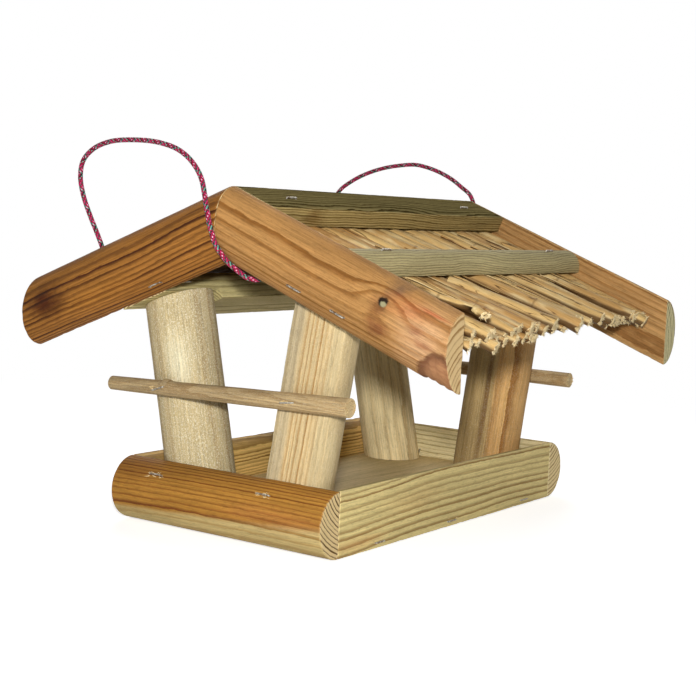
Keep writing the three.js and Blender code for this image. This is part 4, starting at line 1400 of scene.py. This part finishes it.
reed_pith = make_reed_pith()


def ramp(value, start, length):
    """The share of a length that value is past its start, from 0 to 1."""
    return min(1.0, max(0.0, (value - start) / length))


def stem_path(rng, start, stop, along, fan, level, radius):
    """One stem down the slope, waved a little and with a joint or two, as places with a radius and a joint's
    share."""
    joint_half = 2.5
    joints = [rng.uniform(60, 120), rng.uniform(150, 200)] if rng.random() < 0.5 else [rng.uniform(40, 200)]
    steps = [start + (stop - start) * i / (STEM_SECTIONS - 1) for i in range(STEM_SECTIONS)]
    round_joints = [at + aside for at in joints for aside in (-joint_half, 0.0, joint_half)]
    steps += [down for down in round_joints if start + 4 < down < stop - 4]
    bend = rng.uniform(-1.6, 1.6)
    path = []
    for down in sorted(steps):
        part = (down - start) / (stop - start)
        joint = max(0.0, 1.0 - min(abs(down - at) for at in joints) / 2.0)
        wobble = math.sin(part * math.pi * 1.7 + bend) * 0.8
        lift = 0.9 * math.sin(part * 5 + bend * 3)
        taper = 1.0 - 0.12 * part + 0.07 * joint
        path.append(((down, along + fan * down + wobble, level + lift), radius * taper, joint))
    return path


def stem_lines(rng):
    """What stem_path takes for each stem of one slope, with a colour share. Stems slant towards the far end,
    where they are straightened to stay inside the rafter."""
    stems = []
    for layer in REED_LAYERS:
        along = -MAT_HALF - layer.first
        while along < MAT_HALF:
            radius = rng.uniform(*layer.radii)
            along += layer.spacing * rng.uniform(*layer.variation)
            room = MAT_HALF - 4 - along
            fan = math.tan(REED_SLANT + math.radians(rng.uniform(-layer.fan, layer.fan)))
            fan *= min(1.0, max(0.05, room / STRAIGHTENED))
            hidden = -MAT_HALF + 5 - along  # before the near rafter, at the ridge
            start = MAT_START if hidden < 0 else MAT_START + hidden / max(fan, 0.01)
            stop = MAT_REACH - rng.uniform(2, 12) + 4 * max(0.0, (along - 40) / MAT_HALF)
            stop -= layer.set_back * ramp(along + 200 * fan, -60, 40)
            if start > stop - 25 or room < 0:
                continue
            level = layer.level + rng.uniform(-0.8, 0.8)
            stems.append(((start, stop, along, fan, level, radius), rng.random()))
    return stems


def strip_path(rng):
    """A loose strip of reed on top, which passes under the battens and runs out to a point."""
    start = rng.uniform(38, 150)
    length = rng.uniform(25, 90)
    along = rng.uniform(-MAT_HALF + 14, MAT_HALF - 34)
    stop = min(start + length, MAT_REACH - 30)
    fan = math.tan(REED_SLANT + math.radians(rng.uniform(-9, 9)))
    thick = rng.uniform(0.5, 1.5)
    path = []
    for i in range(STRIP_SECTIONS):
        part = i / (STRIP_SECTIONS - 1)
        down = start + (stop - start) * part
        under = any(abs(down - middle) < half for middle, half in UNDER_BATTENS)
        level = UNDER_BATTEN_LEVEL if under else STRIP_LEVEL + 0.25 * math.sin(i)
        path.append(((down, along + fan * (down - start), level), thick * (1 - 0.75 * part), 0.0))
    return path


def reeds(label, side, seed):
    rng = random.Random(seed)
    corners, edges = [], []
    values = {"radius": [], "stem": [], "joint": [], "tip": []}

    def draw(path, colour_share, tip=1.0):
        first = len(corners)
        for place, radius, joint in path:
            corners.append(on_slope(side, *place))
            for numbers, value in zip(values.values(), (radius * MM, colour_share, joint, 0.0)):
                numbers.append(value)
        values["tip"][-1] = tip
        edges.extend((first + i, first + i + 1) for i in range(len(path) - 1))

    for stem, colour_share in stem_lines(rng):
        draw(stem_path(rng, *stem), colour_share)
    for _ in range(LOOSE_STRIPS):
        draw(strip_path(rng), rng.random(), 0.0)
    if side > 0:
        for path in ODD_REEDS:
            draw(path, 0.2)
    carrier = new_mesh("reed_lines", corners, [], edges)
    for title, numbers in values.items():
        write_values(carrier, title, numbers)
    skin = reed_skin(f"reed_{label}", side)
    mesh = grow(carrier, reed_tubes,
                {"Flatness": REED_FLATNESS, "Seed": seed, "Skin": skin, "Pith": reed_pith})
    put(f"reeds_{label}", mesh, "reed", f"thatch_{label}")


reeds("left", -1, 5)
reeds("right", 1, 8)


# --- Staples --------------------------------------------------------------------------------------

CROWN_WIDTH = 12.7
WIRE_WIDTH = 1.3
WIRE_THICKNESS = 1.0
FOOT_LEGS, PERCH_LEGS, FLOOR_LEGS = 35, 26, 32
RIDGE_LEGS, MIDDLE_LEGS, RAFTER_LEGS, CORD_LEGS = 27, 41, 34, 12
RIDGE_STAPLE_PLACE = 21
BATTEN_STAPLE_INSET = 42.7
RAFTER_STAPLE_LIFT = 0.9
CORD_STAPLE_INSET = 5
CORD_STAPLE_LIFT = 4.3  # room for the cord under the crown


def make_bent_wire():
    """Flat wire along the carrier's edges, with rounded bends. Its lengths are in metres."""
    m = Maker("bent wire", [
        ("Bend radius", "Float", 0.0007),
        ("Bend steps", "Int", 4),
        ("Wire width", "Float", WIRE_WIDTH * MM),
        ("Wire thickness", "Float", WIRE_THICKNESS * MM),
        ("Corner radius", "Float", 0.0002),
        ("Steel", "Material", None),
    ])
    given, out = m.given, m.out
    lines = m.node("GeometryNodeMeshToCurve", Mesh=given["Geometry"])
    bent = m.node("GeometryNodeFilletCurve", {"mode": "POLY"}, Curve=out(lines), Count=given["Bend steps"],
                  Radius=given["Bend radius"])
    flat = m.node("GeometryNodeCurvePrimitiveQuadrilateral", {"mode": "RECTANGLE"}, Width=given["Wire width"],
                  Height=given["Wire thickness"])
    section = m.node("GeometryNodeFilletCurve", {"mode": "POLY"}, Curve=out(flat), Count=2,
                     Radius=given["Corner radius"])
    wire = m.node("GeometryNodeCurveToMesh", Curve=out(bent), Profile_Curve=out(section), Fill_Caps=True)
    real = m.node("GeometryNodeRealizeInstances", Geometry=out(wire))
    m.finish(out(m.node("GeometryNodeSetMaterial", Geometry=out(real), Material=given["Steel"])))
    return m


def make_staple_steel():
    material, g, shader = start_material("staple_steel")
    place = g.place()
    scuffs = g.noise(place, 4.0, 0.65, scale=0.8)
    rust = g.noise(place, 3.0, 0.6, scale=0.33)
    base = g.mix(g.step(scuffs, 0.35, 0.65), colour("7b766a"), colour("c9c4b7"))
    g.feed(shader["Base Color"], g.mix(g.step(rust, 0.46, 0.62, 0.0, 0.8), base, colour("6b4c2e")))
    g.feed(shader["Roughness"], g.between(scuffs, 0.35, 0.6))
    shader["Metallic"].default_value = 0.75
    return material


bent_wire = make_bent_wire()
staple_steel = make_staple_steel()


def staple(name, at, drive, crown, legs, lift=0.0):
    """A driven staple: its crown over the wood at a place, its legs along the drive."""
    up = -Vector(drive).normalized()
    across = Vector(crown).normalized() * ((CROWN_WIDTH - WIRE_THICKNESS) / 2)
    top = up * (lift + FIT + WIRE_THICKNESS / 2)
    corners = [at - across - up * legs, at - across + top, at + across + top, at + across - up * legs]
    carrier = new_mesh("staple_line", corners, [], [(0, 1), (1, 2), (2, 3)])
    put(f"wire_{name}", grow(carrier, bent_wire, {"Steel": staple_steel}), "staple", name)


for label, post in POSTS.items():
    inwards = (0, -post.end * math.cos(FOOT_ANGLE), -math.sin(FOOT_ANGLE))
    staple(f"staple_foot_{label}", foot_staple_place(post), inwards, ALONG_X, FOOT_LEGS)
    tilt = math.radians(post.crown_tilt)
    staple(f"staple_perch_{label}", perch_staple_place(post), (0, -post.end, 0),
           (math.cos(tilt), 0, math.sin(tilt)), PERCH_LEGS)

for label, side in (("left", -1), ("right", 1)):
    for i, share in enumerate(FLOOR_STAPLE_SHARES, 1):
        place = Vector((side * TRAY_HALF, share * FLOOR_HALF, FLOOR_STAPLE_RISE))
        staple(f"staple_floor_{label}_{i}", place, (-side, 0, 0), ALONG_Y, FLOOR_LEGS)
    for end_label, end in (("back", 1), ("front", -1)):
        along = side * end * (BATTEN_HALF - BATTEN_STAPLE_INSET)
        inwards = (-side * math.sin(PITCH), 0, -math.cos(PITCH))
        staple(f"staple_ridge_{label}_{end_label}", on_slope(side, RIDGE_STAPLE_PLACE, along, 0), inwards,
               ALONG_Y, RIDGE_LEGS)
        staple(f"staple_middle_{label}_{end_label}", on_slope(side, MIDDLE_BATTEN_PLACE, along, 0), inwards,
               ALONG_Y, MIDDLE_LEGS)

# Each rafter's staples hold the purlin's end behind it: at aside, a share of its width from its middle, and
# at rise, a share of its depth from its flat side.
for name, end, side, aside, rise in (
        ("staple_rafter_front_left", -1, -1, -0.52, 0.432),
        ("staple_rafter_front_right_1", -1, 1, -0.41, 0.754),
        ("staple_rafter_front_right_2", -1, 1, 0.41, 0.754),
        ("staple_rafter_back_left", 1, -1, -0.4, 0.682),
        ("staple_rafter_back_right_1", 1, 1, -0.44, 0.646),
        ("staple_rafter_back_right_2", 1, 1, 0.4, 0.718)):
    down = PURLIN_PLACE + aside * PURLIN_WIDTH
    depth = PURLIN_BASE - rise * PURLIN_DEPTH
    proud = RAFTER_DEPTH * math.sqrt(1 - (2 * depth / RAFTER_WIDTH - 1) ** 2)
    place = on_slope(side, down, 0, -depth)
    place.y = end * (RAFTER_PLANE + proud)
    staple(name, place, (0, -end, 0), (side * math.cos(PITCH), 0, -math.sin(PITCH)), RAFTER_LEGS,
           RAFTER_STAPLE_LIFT)

for name, loop, end in (("cord_front", FRONT_CORD_LOOP, -1), ("cord_back", BACK_CORD_LOOP, 1)):
    points = cord_points(loop, end)
    for label, tip, following in (("ridge", points[0], points[1]), ("rafter", points[-1], points[-2])):
        run = (following - tip).normalized()
        place = tip + run * CORD_STAPLE_INSET
        place.y = end * RAFTER_PLANE
        inwards = Vector((0, end, 0))
        staple(f"staple_{name}_{label}", place, inwards, run.cross(inwards), CORD_LEGS, CORD_STAPLE_LIFT)


# --- Floor, background and light ------------------------------------------------------------------
# Places and sizes in metres, power in watts.

WHITE = (1.0, 1.0, 1.0, 1.0)
BLACK = (0.0, 0.0, 0.0, 1.0)
PALE = (0.82, 0.82, 0.82, 1.0)
FLOOR_REACH = 6.0
FLOOR_DROP = 0.0002
SHADOWED = 0.3  # within this of the middle the floor is lit, and past PURE_WHITE it only glows
PURE_WHITE = 0.9
FILL = 0.13


def make_floor():
    """A pale floor that takes shadows near the object and is pure white further off."""
    corners = [(x, y, -FLOOR_DROP) for x, y in ((-FLOOR_REACH, -FLOOR_REACH), (FLOOR_REACH, -FLOOR_REACH),
                                                (FLOOR_REACH, FLOOR_REACH), (-FLOOR_REACH, FLOOR_REACH))]
    mesh = bpy.data.meshes.new("studio_floor")
    mesh.from_pydata(corners, [], [(0, 1, 2, 3)])
    floor = bpy.data.objects.new("studio_floor", mesh)
    bpy.context.collection.objects.link(floor)
    material, g, shader = start_material("studio_floor")
    seen = g.studio_seen()
    away = g.vector("LENGTH", g.add("ShaderNodeTexCoord").outputs["Object"])
    far = g.step(away, SHADOWED, PURE_WHITE)
    g.feed(shader["Base Color"], g.mix(g.times(seen, far), PALE, BLACK))
    g.feed(shader["Emission Strength"], g.times(seen, g.between(far, 0.6, 1.0)))
    shader["Emission Color"].default_value = WHITE
    shader["Roughness"].default_value = 0.9
    shader["Specular IOR Level"].default_value = 0.0
    mesh.materials.append(material)


def make_world():
    """White where it is seen, and a low even fill for the object."""
    world = bpy.data.worlds.new("studio")
    bpy.context.scene.world = world
    world.use_nodes = True
    g = Graph(world.node_tree)
    background = next(n for n in world.node_tree.nodes if n.type == "BACKGROUND")
    background.inputs["Color"].default_value = WHITE
    g.feed(background.inputs["Strength"], g.between(g.studio_seen(), FILL, 1.0))


def lamp(name, place, target, size, power):
    data = bpy.data.lights.new(name, "AREA")
    data.shape = "DISK"
    data.size = size
    data.energy = power
    light = bpy.data.objects.new(name, data)
    light.location = place
    light.rotation_mode = "QUATERNION"
    light.rotation_quaternion = (Vector(target) - Vector(place)).to_track_quat("-Z", "Y")
    bpy.context.collection.objects.link(light)


make_floor()
make_world()
lamp("key", (0.661, -0.976, 0.351), (0, 0, 0.13), 0.07, 12.8)
lamp("top", (0.5, 0.5, 1.7), (0, 0, 0.15), 1.4, 5.0)
lamp("back", (-1.1, 1.2, 1.0), (0, 0, 0.12), 1.2, 16.0)

bpy.context.scene.view_settings.view_transform = "Standard"
